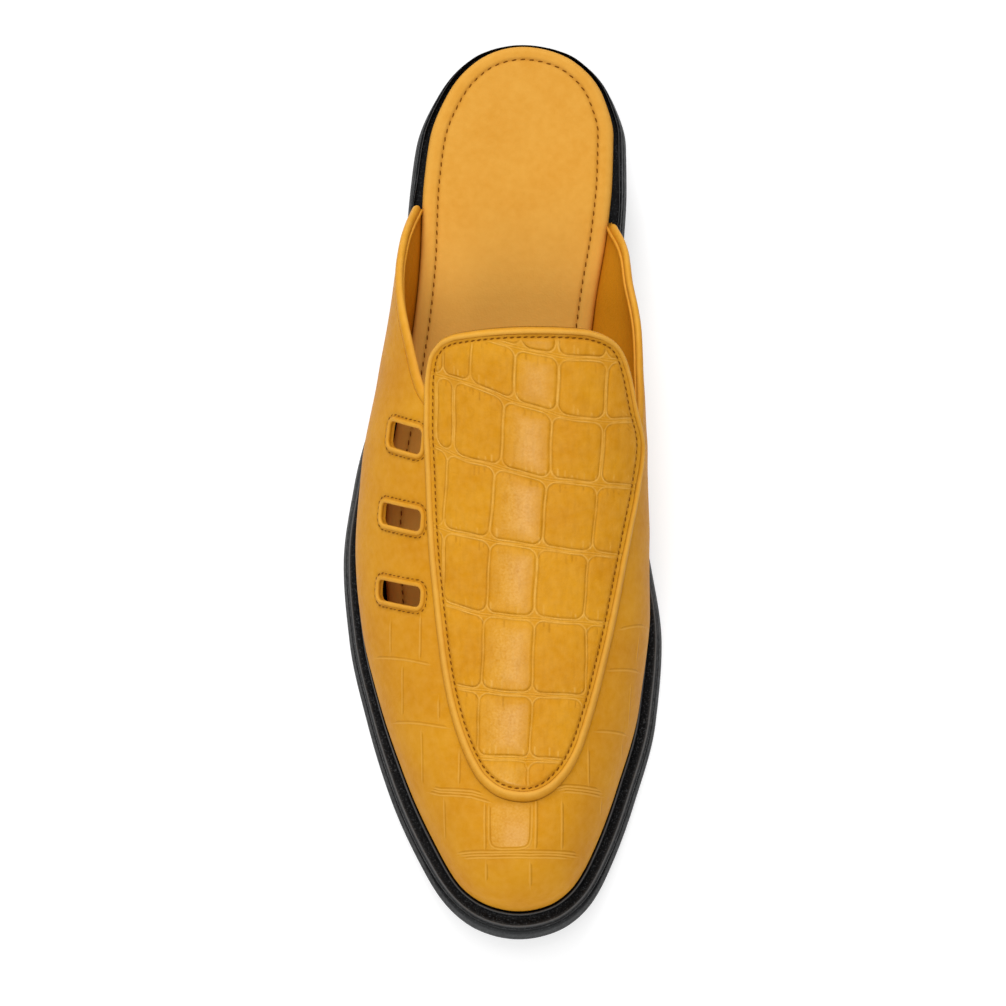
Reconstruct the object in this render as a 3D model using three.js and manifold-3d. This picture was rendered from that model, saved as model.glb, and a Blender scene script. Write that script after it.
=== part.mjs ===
// Backless loafer for the right foot: a mule with an apron, three slots and a low heel.
// Millimetres, +Z up, toe towards -Y, big-toe side towards +X, standing on heel and forefoot at z = 0.
// In plan a point is (x, s): x from the long axis, s from the back of the heel towards the toe.
import * as THREE from 'three';
import { mergeVertices } from 'three/addons/utils/BufferGeometryUtils.js';
import Module from 'manifold-3d';

// Driving dimensions
const SOLE_LENGTH = 270;
const CLEARANCE = 0.3;
const UPPER_WALL = 2;
const APRON_THICKNESS = 1.3;
const APRON_LIFT = 0.4;
const HEEL_LENGTH = 70;
const HEEL_INSET = 1.2;
const HEEL_TAPER = 1.6;
const OUTSOLE_EDGE_ROUNDING = 0.8;
const WELT_HEIGHT = 3.2;
const WELT_ROUNDING = 0.7;
const WELT_LIP = 0.9;
const WELT_OUTER_INSET = 0.5;
const WELT_TO_UPPER = 0.9;
const INSOLE_THICKNESS = 6.8;
const INSOLE_ROUNDING = 2.2;
const INSOLE_DISH = 0.6;
const INSOLE_TAPER = 1.2;
const INSOLE_CLEARANCE = 0.2;
const ROLL_HALF_WIDTH = 1.4;
const ROLL_HEIGHT = 1.9;
const TOPLINE_RADIUS = 1.4;
const TOPLINE_TO_ROLL = 1;
const THROAT = 108;
const APRON_END = 233.7;
const QUARTER_END = { lateral: 51.5, medial: 56.5 };
const SLOT_CORNER = 1.6;
const SLOT_REACH = 9;
const SIDES = ['lateral', 'medial'];
const SIGN = { lateral: -1, medial: 1 };

// Steps of the meshes
const SOLE_STEPS = 36;
const HEEL_STEPS = 14;
const QUARTER_STEPS = 11;
const VAMP_STEPS = 26;
const WALL_COLUMNS = 9;
const PLUG_COLUMNS = 5;
const APRON_STEPS = 20;
const APRON_COLUMNS = 12;
const THROAT_STEPS = 7;
const ROLL_FACETS = 5;
const TOPLINE_FACETS = 8;
const SLOT_CORNER_FACETS = 3;
const QUARTER_CROWDING = 1.7;
const BISECTIONS = 40;
const THROAT_SLACK = 1;
const NUDGE = 0.02;
const WELD = 1e-4;

// Outsole in plan: half-widths from the long axis
const OUTLINE = squaredTable(['s', 'lateral', 'medial'], [
  [0, 0, 0],
  [4, 15.6, 16.6],
  [17, 26.9, 27.8],
  [30, 31.9, 31.4],
  [44, 33.7, 31.6],
  [62, 35.2, 30.6],
  [85, 38.6, 28],
  [108, 43.6, 27.8],
  [132, 49.8, 33],
  [156, 52.9, 39.2],
  [180, 50.8, 42.4],
  [204, 45.3, 40.5],
  [228, 37.7, 34.2],
  [246, 29.6, 27.8],
  [259, 21.8, 21.3],
  [266, 14.1, 14.1],
  [SOLE_LENGTH, 0, 0],
]);

// Outsole from the side: the arch rises to the heel seat, the toe springs up
const SOLE = table(['s', 'bottom', 'top'], [
  [0, 20, 25.5],
  [35, 19.2, 24.7],
  [70, 17.2, 22.7],
  [95, 12.6, 18.1],
  [120, 7, 12.6],
  [145, 2.2, 8],
  [166, 0, 6],
  [208, 0, 6],
  [226, 0.9, 6.9],
  [245, 3.3, 9.3],
  [260, 6.3, 12.3],
  [SOLE_LENGTH, 8.7, 14.7],
]);

// How far the upper's lower edge stands in from the edge of the outsole
const FLANGE = table(['s', 'lateral', 'medial'], [
  [0, 2, 2],
  [4, 2.4, 2.3],
  [20, 3.3, 3.2],
  [42, 3.2, 3.5],
  [54, 2.6, 3.1],
  [65, 3.4, 3.7],
  [80, 4.6, 4.4],
  [100, 5.5, 6.2],
  [125, 5.8, 7],
  [150, 5.9, 5.6],
  [175, 5.5, 5.9],
  [200, 5.6, 6.6],
  [225, 6.4, 6.7],
  [245, 6.6, 6.7],
  [258, 6.5, 7],
  [SOLE_LENGTH, 7.6, 7.6],
]);

// How far the footbed's edge stands in from the edge of the outsole
const FOOTBED_EDGE = table(['s', 'lateral', 'medial'], [
  [0, 2, 2],
  [4, 3.2, 2.8],
  [10, 3.6, 3.1],
  [20, 4, 3.6],
  [32, 4.2, 4.1],
  [44, 4.25, 4.55],
  [56, 4.65, 5.05],
  [68, 5.6, 5.6],
  [80, 6.45, 6],
  [92, 7.1, 7.2],
  [122, 9.3, 9.8],
  [144, 11.7, 9.4],
  [166, 12.7, 9],
  [200, 10.5, 9.4],
  [245, 9.4, 9.8],
  [SOLE_LENGTH, 11, 11],
]);

// Crest of the last: where the two sides of the upper meet. Behind the throat it is only a guide.
const CREST = table(['s', 'x', 'z'], [
  [40, 1, 113],
  [75, 2, 103],
  [103, 3, 91],
  [125, 4, 81.5],
  [150, 5, 71],
  [175, 5, 61.5],
  [200, 4, 53.5],
  [215, 3, 48.5],
  [228, 1.2, 44.3],
]);

// Sections of the last: how far and how high each wall swells out, and how square its shoulder is
const SECTION = table([
  's', 'lateralSwell', 'medialSwell', 'lateralRise', 'medialRise', 'lateralShoulder', 'medialShoulder',
], [
  [45, 1.6, 1.4, 22, 22, 2.2, 2.4],
  [57, 2.4, 3.2, 23, 24, 2.1, 2.45],
  [68, 3.5, 5.4, 23.5, 25.5, 2.05, 2.5],
  [80, 4.3, 8.1, 24, 27, 2, 2.5],
  [100, 4.6, 13.4, 22, 30, 1.9, 2.6],
  [112, 4.2, 14.4, 20, 30, 1.85, 2.6],
  [125, 3.5, 12.3, 18, 30, 1.8, 2.6],
  [150, 1.8, 5.2, 15, 24, 1.8, 2.5],
  [175, 1.3, 1.7, 13, 18, 1.85, 2.4],
  [200, 1, 1.1, 12, 14, 1.95, 2.3],
  [225, 0.9, 0.9, 10.5, 11, 2.05, 2.15],
  [250, 0.8, 0.8, 8.5, 8.5, 2.1, 2.1],
  [SOLE_LENGTH, 0.8, 0.8, 7.5, 7.5, 2.1, 2.1],
]);

// Apron in plan: half-widths from the crest
const APRON = squaredTable(['s', 'lateral', 'medial'], [
  [THROAT, 22, 14.5],
  [108.6, 25, 18.6],
  [110, 27, 22.2],
  [112, 28.6, 24],
  [115, 29.5, 25.3],
  [119, 30.2, 26.3],
  [126, 30.6, 27.5],
  [134, 31, 29.3],
  [146, 30.9, 27.7],
  [160, 30.3, 25.1],
  [177, 28.7, 22],
  [190, 26.7, 19.8],
  [204, 23.6, 17.2],
  [214, 20.2, 15],
  [221, 16.7, 13.3],
  [226.5, 13, 11.1],
  [230.3, 9.5, 8],
  [232.3, 6.6, 5.2],
  [APRON_END, 0, 0],
]);

// Height of each quarter's top edge over the floor, as far as it runs beside the tongue
const TOPLINE = {
  lateral: table(['s', 'z'], [
    [51.5, 25],
    [54, 29.5],
    [58, 34.7],
    [62, 39.5],
    [67, 44.3],
    [73, 49.2],
    [79, 53.4],
    [85, 57],
    [92, 60.7],
    [98, 63.3],
    [104, 65],
    [111, 65.7],
    [118, 66.2],
    [126, 68],
  ]),
  medial: table(['s', 'z'], [
    [56.5, 25],
    [60, 29],
    [63, 33],
    [67, 38],
    [71, 42.2],
    [76, 46.6],
    [82, 50.3],
    [90, 53.2],
    [100, 55],
    [110, 56],
    [125, 57.5],
    [136, 62],
  ]),
};

// Section of the welt: share of the way in from its outer edge, and height over the outsole
const WELT_SECTION = [
  { share: 0, z: CLEARANCE },
  { share: 0, z: WELT_HEIGHT - WELT_ROUNDING },
  { share: 0.15, z: WELT_HEIGHT },
  { share: 0.6, z: WELT_HEIGHT },
  { share: 0.72, z: WELT_HEIGHT + WELT_LIP },
  { share: 1, z: WELT_HEIGHT + WELT_LIP },
  { share: 1, z: CLEARANCE },
];

// Section of the footbed's edge, from the bottom up: how far in, and how far under its top
const INSOLE_SECTION = [
  { inset: INSOLE_TAPER, drop: INSOLE_THICKNESS },
  { inset: 0, drop: INSOLE_ROUNDING },
  { inset: 0.3 * INSOLE_ROUNDING, drop: 0.3 * INSOLE_ROUNDING },
  { inset: INSOLE_ROUNDING, drop: 0 },
  { inset: 4 * INSOLE_ROUNDING, drop: INSOLE_DISH },
];

// The slots on the outer side run up the wall: rib and share of the rib at the two ends
const SLOTS = [
  { lowS: 128.2, lowV: 0.516, highS: 133.8, highV: 0.649, width: 7.5 },
  { lowS: 150.3, lowV: 0.503, highS: 156, highV: 0.657, width: 6.2 },
  { lowS: 172.5, lowV: 0.478, highS: 177.4, highV: 0.649, width: 5.9 },
];

// Ribs fan out round the toe from here, and reach their widest at this share of their length
const FAN_START = 185;
const WIDEST = 0.25;

// Monotone cubic through the rows of a table, so that level rows stay level
function monotone(xs, ys, x) {
  const last = xs.length - 1;
  const at = THREE.MathUtils.clamp(x, xs[0], xs[last]);
  let i = 0;
  while (i < last - 1 && at > xs[i + 1]) i += 1;
  const step = (k) => xs[k + 1] - xs[k];
  const rise = (k) => (ys[k + 1] - ys[k]) / step(k);
  const tangent = (k) => {
    if (k === 0) return rise(0);
    if (k === last) return rise(last - 1);
    const before = rise(k - 1);
    const after = rise(k);
    if (before * after <= 0) return 0;
    const w1 = 2 * step(k) + step(k - 1);
    const w2 = step(k) + 2 * step(k - 1);
    return (w1 + w2) / (w1 / before + w2 / after);
  };
  const t = (at - xs[i]) / step(i);
  const h = step(i);
  return (2 * t ** 3 - 3 * t ** 2 + 1) * ys[i] + (t ** 3 - 2 * t ** 2 + t) * h * tangent(i)
    + (3 * t ** 2 - 2 * t ** 3) * ys[i + 1] + (t ** 3 - t ** 2) * h * tangent(i + 1);
}

function table(columns, rows) {
  const values = (name) => rows.map((row) => row[columns.indexOf(name)]);
  return (name, s) => monotone(values(columns[0]), values(name), s);
}

// Half-widths are blended as squares, so that an outline comes out round where it closes
function squaredTable(columns, rows) {
  const squares = table(columns, rows.map(([s, ...widths]) => [s, ...widths.map((w) => w * w)]));
  const ends = [rows[0][0], rows[rows.length - 1][0]];
  return { squares, ends };
}

const spread = (count) => Array.from({ length: count + 1 }, (_, i) => i / count);
const easeBothEnds = (t) => (1 - Math.cos(Math.PI * t)) / 2;
const fineAtBothEnds = (count, from, to) => spread(count).map((t) => from + (to - from) * easeBothEnds(t));
const soleTop = (s) => SOLE('top', s);

// A point of an outline, moved in from it by a distance along its normal
function insetPoint(outline, centre, side, s, distance) {
  const [first, last] = outline.ends;
  const after = Math.min(s + NUDGE, last);
  const before = Math.max(s - NUDGE, first);
  const half = Math.sqrt(Math.max(outline.squares(side, s), 0));
  const slope = (outline.squares(side, after) - outline.squares(side, before)) / (after - before);
  const normal = new THREE.Vector2(half, -slope / 2).normalize();
  return { x: centre(s) + SIGN[side] * (half - normal.x * distance), s: s - normal.y * distance };
}

const soleEdge = (side, s, distance) => insetPoint(OUTLINE, () => 0, side, s, distance);
const apronEdge = (side, s, distance) => insetPoint(APRON, (at) => CREST('x', at), side, s, distance);
const vertex = (x, s, z) => new THREE.Vector3(x, -s, z);

// One rib of the upper, from its lower edge (v = 0) over the swell (v = WIDEST) to the crest (v = 1)
function makeRib(side, s) {
  const foot = soleEdge(side, s, FLANGE(side, s));
  const share = THREE.MathUtils.clamp((s - FAN_START) / (SOLE_LENGTH - FAN_START), 0, 1);
  const crestS = s < FAN_START ? s : FAN_START + (SOLE_LENGTH - FAN_START) * (share - share ** 2 / 2);
  const crest = { x: CREST('x', crestS), s: crestS, z: CREST('z', crestS) };
  const reach = Math.hypot(foot.x - crest.x, foot.s - crest.s);
  const direction = { x: (foot.x - crest.x) / reach, s: (foot.s - crest.s) / reach };
  const bottom = soleTop(foot.s) + CLEARANCE;
  const swell = SECTION(`${side}Swell`, s);
  const rise = SECTION(`${side}Rise`, s);
  const shoulder = SECTION(`${side}Shoulder`, s);
  const widest = reach + swell;
  const vault = crest.z - bottom - rise;
  const at = (v) => {
    const t = Math.min(v / WIDEST, 1);
    const turn = (Math.max(v - WIDEST, 0) / (1 - WIDEST)) * (Math.PI / 2);
    const low = v < WIDEST;
    const swollen = reach + swell * (3 * t ** 2 - 2 * t ** 3);
    const from = low ? swollen : widest * Math.cos(turn) ** (2 / shoulder);
    const up = low ? rise * t : rise + vault * Math.sin(turn) ** (2 / shoulder);
    return vertex(crest.x + direction.x * from, crest.s + direction.s * from, bottom + up);
  };
  const heightAt = (from) => {
    const left = Math.max(1 - (from / widest) ** shoulder, 0);
    return bottom + rise + vault * left ** (1 / shoulder);
  };
  return { side, s, foot, crest, at, heightAt };
}

// The share of a rib where a rising test turns true
function firstShare(test) {
  let low = 0;
  let high = 1;
  for (let i = 0; i < BISECTIONS; i += 1) {
    const middle = (low + high) / 2;
    if (test(middle)) high = middle;
    else low = middle;
  }
  return high;
}

// The upper's outer face over a point in plan, above the swell of its walls
function lift(x, s) {
  const side = x < CREST('x', s) ? 'lateral' : 'medial';
  let behind = QUARTER_END.lateral;
  let ahead = SOLE_LENGTH;
  for (let i = 0; i < BISECTIONS; i += 1) {
    const middle = (behind + ahead) / 2;
    const { foot, crest } = makeRib(side, middle);
    const turn = (foot.x - crest.x) * (s - crest.s) - (foot.s - crest.s) * (x - crest.x);
    if (turn * SIGN[side] > 0) behind = middle;
    else ahead = middle;
  }
  const rib = makeRib(side, ahead);
  return vertex(x, s, rib.heightAt(Math.hypot(x - rib.crest.x, s - rib.crest.s)));
}

function liftNormal(x, s) {
  const across = lift(x + NUDGE, s).sub(lift(x - NUDGE, s));
  const along = lift(x, s - NUDGE).sub(lift(x, s + NUDGE));
  return across.cross(along).normalize();
}

// Triangles with their equal corners welded, and without the ones that close up
function weld(points, triangles) {
  const raw = new THREE.BufferGeometry();
  raw.setAttribute('position', new THREE.Float32BufferAttribute(points.flatMap((p) => p.toArray()), 3));
  raw.setIndex(triangles.flat());
  const geometry = mergeVertices(raw, WELD);
  const index = geometry.getIndex().array;
  const faces = [];
  for (let i = 0; i < index.length; i += 3) {
    const face = [index[i], index[i + 1], index[i + 2]];
    if (new Set(face).size === 3) faces.push(face);
  }
  return { geometry, faces };
}

// Closed solids from triangles, faces out
function solid(points, triangles) {
  const { geometry, faces } = weld(points, triangles);
  const corner = (k) => new THREE.Vector3().fromBufferAttribute(geometry.getAttribute('position'), k);
  const volume = faces.reduce((sum, [a, b, c]) => sum + corner(a).dot(corner(b).cross(corner(c))), 0);
  geometry.setIndex((volume > 0 ? faces : faces.map(([a, b, c]) => [a, c, b])).flat());
  return geometry;
}

const quad = (a, b, c, d) => [[a, b, c], [a, c, d]];

// Skin over rings of equal count; open ends are closed by a strip from side to side
function loft(rings, closed) {
  const count = rings[0].length;
  const triangles = [];
  const spans = closed ? rings.length : rings.length - 1;
  for (let r = 0; r < spans; r += 1) {
    const here = r * count;
    const there = ((r + 1) % rings.length) * count;
    for (let i = 0; i < count; i += 1) {
      const j = (i + 1) % count;
      triangles.push(...quad(here + i, here + j, there + j, there + i));
    }
  }
  if (!closed) {
    const top = (rings.length - 1) * count;
    for (let i = 0; i < count / 2 - 1; i += 1) {
      const j = count - 1 - i;
      triangles.push(...quad(j, j - 1, i + 1, i));
      triangles.push(...quad(top + i, top + i + 1, top + j - 1, top + j));
    }
  }
  return solid(rings.flat(), triangles);
}

// A ring round the sole: lateral side from heel to toe, then medial side back
function soleRing(stations, distance, height) {
  const chain = (side, list) => list.map((s) => {
    const point = soleEdge(side, s, typeof distance === 'function' ? distance(side, s) : distance);
    return vertex(point.x, point.s, height(point.s));
  });
  return [...chain('lateral', stations), ...chain('medial', [...stations].reverse())];
}

function outsoleGeometry() {
  const stations = fineAtBothEnds(SOLE_STEPS, 0, SOLE_LENGTH);
  const bottom = (s) => SOLE('bottom', s);
  return loft([
    soleRing(stations, OUTSOLE_EDGE_ROUNDING, bottom),
    soleRing(stations, 0, (s) => bottom(s) + OUTSOLE_EDGE_ROUNDING),
    soleRing(stations, 0, (s) => soleTop(s) - OUTSOLE_EDGE_ROUNDING),
    soleRing(stations, OUTSOLE_EDGE_ROUNDING, soleTop),
  ], false);
}

function heelGeometry() {
  const stations = spread(HEEL_STEPS).map((t) => HEEL_LENGTH * (1 - Math.cos(t * Math.PI / 2)));
  return loft([
    soleRing(stations, HEEL_INSET + HEEL_TAPER, () => 0),
    soleRing(stations, HEEL_INSET, (s) => SOLE('bottom', s) - CLEARANCE),
  ], false);
}

// The welt runs round on the outsole, between its edge and the upper
function weltGeometry() {
  const stations = fineAtBothEnds(SOLE_STEPS, 0, SOLE_LENGTH);
  const inset = (share) => (side, s) => {
    const inner = FLANGE(side, s) - WELT_TO_UPPER;
    return WELT_OUTER_INSET + share * (inner - WELT_OUTER_INSET);
  };
  const ring = ({ share, z }) => soleRing(stations, inset(share), (s) => soleTop(s) + z);
  return loft(WELT_SECTION.map(ring), true);
}

// The footbed fills the welt at the bare heel and tapers down between the walls further forward
function insoleGeometry() {
  const stations = fineAtBothEnds(SOLE_STEPS, 0, SOLE_LENGTH);
  const edge = (inset) => (side, s) => FOOTBED_EDGE(side, s) + INSOLE_CLEARANCE + inset;
  const top = (s) => soleTop(s) + CLEARANCE + INSOLE_THICKNESS;
  const ring = ({ inset, drop }) => soleRing(stations, edge(inset), (s) => top(s) - drop);
  return loft(INSOLE_SECTION.map(ring), false);
}

// A solid between two offsets of an open sheet, along the sheet's own normals
function thicken(points, triangles, from, to) {
  const { geometry: sheet, faces } = weld(points, triangles);
  sheet.setIndex(faces.flat());
  sheet.computeVertexNormals();
  const position = sheet.getAttribute('position');
  const normal = sheet.getAttribute('normal');
  const offset = (distance) => Array.from({ length: position.count }, (_, i) => {
    const along = new THREE.Vector3().fromBufferAttribute(normal, i).multiplyScalar(distance);
    return along.add(new THREE.Vector3().fromBufferAttribute(position, i));
  });
  const used = new Set(faces.flatMap(([a, b, c]) => [`${a},${b}`, `${b},${c}`, `${c},${a}`]));
  const rim = [...used].map((key) => key.split(',').map(Number)).filter(([a, b]) => !used.has(`${b},${a}`));
  const inner = position.count;
  const walls = rim.flatMap(([a, b]) => quad(b, a, inner + a, inner + b));
  const back = faces.map(([a, b, c]) => [inner + a, inner + c, inner + b]);
  return solid([...offset(to), ...offset(from)], [...faces, ...back, ...walls]);
}

// Ribs of one side from the quarter's end to the toe, and the shares where its parts begin and end
function ribsOf(side) {
  const end = QUARTER_END[side];
  const quarter = spread(QUARTER_STEPS).slice(0, -1).map((t) => end + (THROAT - end) * t ** QUARTER_CROWDING);
  const stations = [...quarter, ...fineAtBothEnds(VAMP_STEPS, THROAT, SOLE_LENGTH)];
  const insideApron = (point) => {
    const s = -point.y;
    if (s < THROAT - THROAT_SLACK || s > APRON_END) return false;
    return Math.abs(point.x - CREST('x', s)) < Math.sqrt(APRON.squares(side, s));
  };
  return stations.map((s) => {
    const rib = makeRib(side, s);
    const plug = s < THROAT ? 1 : firstShare((v) => insideApron(rib.at(v)));
    const open = firstShare((v) => rib.at(v).z > TOPLINE[side]('z', s));
    return { ...rib, plug, open, wallTop: Math.max(Math.min(open, plug), NUDGE) };
  });
}

const RIBS = { lateral: ribsOf('lateral'), medial: ribsOf('medial') };

// The upper as one open sheet: walls up to the topline or the apron's seam, and the plug under the apron
function upperSheet() {
  const around = [...RIBS.lateral, ...RIBS.medial.slice(0, -1).reverse()];
  const points = [];
  const triangles = [];
  const band = (ribs, columns, share) => {
    const first = points.length;
    ribs.forEach((rib) => spread(columns).forEach((t) => points.push(rib.at(share(rib, t)))));
    for (let k = 0; k < ribs.length - 1; k += 1) {
      for (let j = 0; j < columns; j += 1) {
        const a = first + k * (columns + 1) + j;
        const b = a + columns + 1;
        triangles.push(...quad(a, b, b + 1, a + 1));
      }
    }
  };
  band(around, WALL_COLUMNS, (rib, t) => rib.wallTop * t);
  band(around.filter((rib) => rib.s >= THROAT), PLUG_COLUMNS, (rib, t) => rib.plug + (1 - rib.plug) * t);
  return { points, triangles };
}

const wasm = await Module();
wasm.setup();

function toManifold(geometry) {
  const mesh = new wasm.Mesh({
    numProp: 3,
    vertProperties: new Float32Array(geometry.getAttribute('position').array),
    triVerts: new Uint32Array(geometry.getIndex().array),
  });
  return new wasm.Manifold(mesh);
}

function fromManifold(manifold) {
  const mesh = manifold.getMesh();
  const geometry = new THREE.BufferGeometry();
  geometry.setAttribute('position', new THREE.Float32BufferAttribute(mesh.vertProperties, 3));
  geometry.setIndex([...mesh.triVerts]);
  return geometry;
}

// A rounded bar that stands square to the wall and cuts one slot
function slotCutter({ lowS, lowV, highS, highV, width }) {
  const low = makeRib('lateral', lowS).at(lowV);
  const high = makeRib('lateral', highS).at(highV);
  const along = high.clone().sub(low);
  const length = along.length();
  const centre = low.clone().lerp(high, 0.5);
  const out = liftNormal(centre.x, -centre.y);
  along.normalize();
  const across = along.clone().cross(out).normalize();
  const w = width / 2;
  const h = length / 2;
  const shape = new THREE.Shape();
  shape.moveTo(-w + SLOT_CORNER, -h);
  shape.lineTo(w - SLOT_CORNER, -h);
  shape.absarc(w - SLOT_CORNER, -h + SLOT_CORNER, SLOT_CORNER, -Math.PI / 2, 0);
  shape.lineTo(w, h - SLOT_CORNER);
  shape.absarc(w - SLOT_CORNER, h - SLOT_CORNER, SLOT_CORNER, 0, Math.PI / 2);
  shape.lineTo(-w + SLOT_CORNER, h);
  shape.absarc(-w + SLOT_CORNER, h - SLOT_CORNER, SLOT_CORNER, Math.PI / 2, Math.PI);
  shape.lineTo(-w, -h + SLOT_CORNER);
  shape.absarc(-w + SLOT_CORNER, -h + SLOT_CORNER, SLOT_CORNER, Math.PI, Math.PI * 1.5);
  const bar = new THREE.ExtrudeGeometry(shape, {
    depth: 2 * SLOT_REACH,
    bevelEnabled: false,
    curveSegments: SLOT_CORNER_FACETS,
  });
  bar.translate(0, 0, -SLOT_REACH);
  bar.applyMatrix4(new THREE.Matrix4().makeBasis(across, along, out).setPosition(centre));
  bar.deleteAttribute('normal');
  bar.deleteAttribute('uv');
  return toManifold(mergeVertices(bar, WELD));
}

function upperGeometry() {
  const { points, triangles } = upperSheet();
  const shell = toManifold(thicken(points, triangles, -UPPER_WALL, 0));
  return fromManifold(SLOTS.reduce((cut, slot) => cut.subtract(slotCutter(slot)), shell));
}

// The apron lies on the plug, inside its rolled seam
function apronGeometry() {
  const inset = ROLL_HALF_WIDTH + CLEARANCE;
  const rows = fineAtBothEnds(APRON_STEPS, THROAT, APRON_END);
  const points = rows.flatMap((s) => {
    const a = apronEdge('lateral', s, inset);
    const b = apronEdge('medial', s, inset);
    const columns = fineAtBothEnds(APRON_COLUMNS, 0, 1);
    return columns.map((t) => lift(a.x + (b.x - a.x) * t, a.s + (b.s - a.s) * t));
  });
  const triangles = [];
  for (let r = 0; r < APRON_STEPS; r += 1) {
    for (let c = 0; c < APRON_COLUMNS; c += 1) {
      const a = r * (APRON_COLUMNS + 1) + c;
      const b = a + APRON_COLUMNS + 1;
      triangles.push(...quad(a, b, b + 1, a + 1));
    }
  }
  return thicken(points, triangles, APRON_LIFT, APRON_LIFT + APRON_THICKNESS);
}

// Sections set square to a path, each from its own frame
function sweep(path, section, closed) {
  const rings = path.map(({ point, out, across }) => section.map(([b, n]) => point.clone()
    .addScaledVector(across, b).addScaledVector(out, n)));
  return loft(rings, closed);
}

// The rolled seam: a half-round bead that goes all round the apron and over the throat
function apronRollGeometry() {
  const stations = fineAtBothEnds(APRON_STEPS, THROAT, APRON_END);
  const chain = (side) => stations.map((s) => apronEdge(side, s, 0));
  const lateral = chain('lateral');
  const medial = chain('medial').slice(0, -1).reverse();
  const [from, to] = [medial[medial.length - 1], lateral[0]];
  const throat = spread(THROAT_STEPS).slice(1, -1).map((t) => ({
    x: from.x + (to.x - from.x) * t,
    s: from.s + (to.s - from.s) * t,
  }));
  const plan = [...lateral, ...medial, ...throat];
  const points = plan.map(({ x, s }) => lift(x, s));
  const path = plan.map(({ x, s }, i) => {
    const after = points[(i + 1) % plan.length];
    const before = points[(i + plan.length - 1) % plan.length];
    const out = liftNormal(x, s);
    const across = after.clone().sub(before).cross(out).normalize();
    return { point: points[i], out, across };
  });
  const section = spread(ROLL_FACETS).map((t) => [
    -ROLL_HALF_WIDTH * Math.cos(Math.PI * t),
    APRON_LIFT + ROLL_HEIGHT * Math.sin(Math.PI * t),
  ]);
  return sweep(path, section, true);
}

// The rolled top edge of a quarter, from above the welt to just short of the apron's seam
function toplineGeometry(side) {
  const ribs = RIBS[side].filter((rib) => rib.open < rib.plug);
  const overSole = WELT_HEIGHT + WELT_LIP + TOPLINE_RADIUS;
  const clearOfWelt = (rib) => rib.at(rib.open).z > soleTop(rib.s) + overSole;
  const clearOfRoll = (rib) => {
    if (rib.s < THROAT) return true;
    return rib.at(rib.open).distanceTo(rib.at(rib.plug)) > ROLL_HALF_WIDTH + TOPLINE_RADIUS + TOPLINE_TO_ROLL;
  };
  const used = ribs.filter((rib) => clearOfWelt(rib) && clearOfRoll(rib));
  const edge = used.map((rib) => rib.at(rib.open));
  const path = used.map((rib, i) => {
    const ahead = edge[Math.min(i + 1, used.length - 1)];
    const tangent = ahead.clone().sub(edge[Math.max(i - 1, 0)]).normalize();
    const up = rib.at(rib.open + NUDGE).sub(rib.at(rib.open - NUDGE));
    const across = up.addScaledVector(tangent, -up.dot(tangent)).normalize();
    const out = tangent.clone().cross(across).multiplyScalar(-SIGN[side]);
    const point = edge[i].clone().addScaledVector(out, -UPPER_WALL / 2);
    return { point: point.addScaledVector(across, TOPLINE_RADIUS + CLEARANCE), out, across };
  });
  const section = spread(TOPLINE_FACETS).slice(1).map((t) => [
    TOPLINE_RADIUS * Math.cos(2 * Math.PI * t),
    TOPLINE_RADIUS * Math.sin(2 * Math.PI * t),
  ]);
  return sweep(path, section, false);
}

const LEATHER = { color: 0xd9972a, roughness: 0.45, metalness: 0 };
const FOOTBED = { color: 0xe6a746, roughness: 0.5, metalness: 0 };
const RUBBER = { color: 0x1b1b1c, roughness: 0.6, metalness: 0 };

const shoe = new THREE.Group();
function add(name, geometry, finish) {
  const mesh = new THREE.Mesh(geometry, new THREE.MeshStandardMaterial(finish));
  mesh.name = name;
  shoe.add(mesh);
}

add('outsole', outsoleGeometry(), RUBBER);
add('heel', heelGeometry(), RUBBER);
add('welt', weltGeometry(), RUBBER);
add('insole', insoleGeometry(), FOOTBED);
add('upper', upperGeometry(), LEATHER);
add('apron', apronGeometry(), LEATHER);
add('apron_roll', apronRollGeometry(), LEATHER);
SIDES.forEach((side) => add(`topline_${side}`, toplineGeometry(side), LEATHER));

// The origin is on the floor, under the middle of the shoe's box
const box = new THREE.Box3().setFromObject(shoe);
shoe.position.set(-(box.min.x + box.max.x) / 2, -(box.min.y + box.max.y) / 2, -box.min.z);

export default shoe;
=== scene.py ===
# %% [markdown]
# A backless loafer, dressed in Blender
#
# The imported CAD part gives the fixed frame: where each piece is and how large it is. This lesson
# replaces each plain solid by a finely made one. Every surface of the upper comes from one function of
# the last, the wooden form that a shoemaker pulls leather over, so that all pieces fit each other by
# themselves.

# %% Load the frame
import math

import bmesh
import bpy
import numpy as np
from mathutils import Matrix, Vector


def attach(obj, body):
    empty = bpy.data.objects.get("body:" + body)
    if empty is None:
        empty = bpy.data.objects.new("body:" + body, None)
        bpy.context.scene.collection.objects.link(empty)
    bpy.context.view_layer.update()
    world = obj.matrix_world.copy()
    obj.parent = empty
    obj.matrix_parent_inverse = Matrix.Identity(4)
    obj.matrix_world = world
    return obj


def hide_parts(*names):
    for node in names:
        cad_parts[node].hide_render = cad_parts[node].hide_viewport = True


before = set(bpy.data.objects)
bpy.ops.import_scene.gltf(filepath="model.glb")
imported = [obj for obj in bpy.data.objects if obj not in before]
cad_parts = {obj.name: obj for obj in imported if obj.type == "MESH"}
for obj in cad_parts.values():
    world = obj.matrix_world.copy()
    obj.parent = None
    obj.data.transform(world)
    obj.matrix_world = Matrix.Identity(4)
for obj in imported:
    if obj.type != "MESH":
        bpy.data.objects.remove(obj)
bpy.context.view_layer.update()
MM = 0.001

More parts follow.
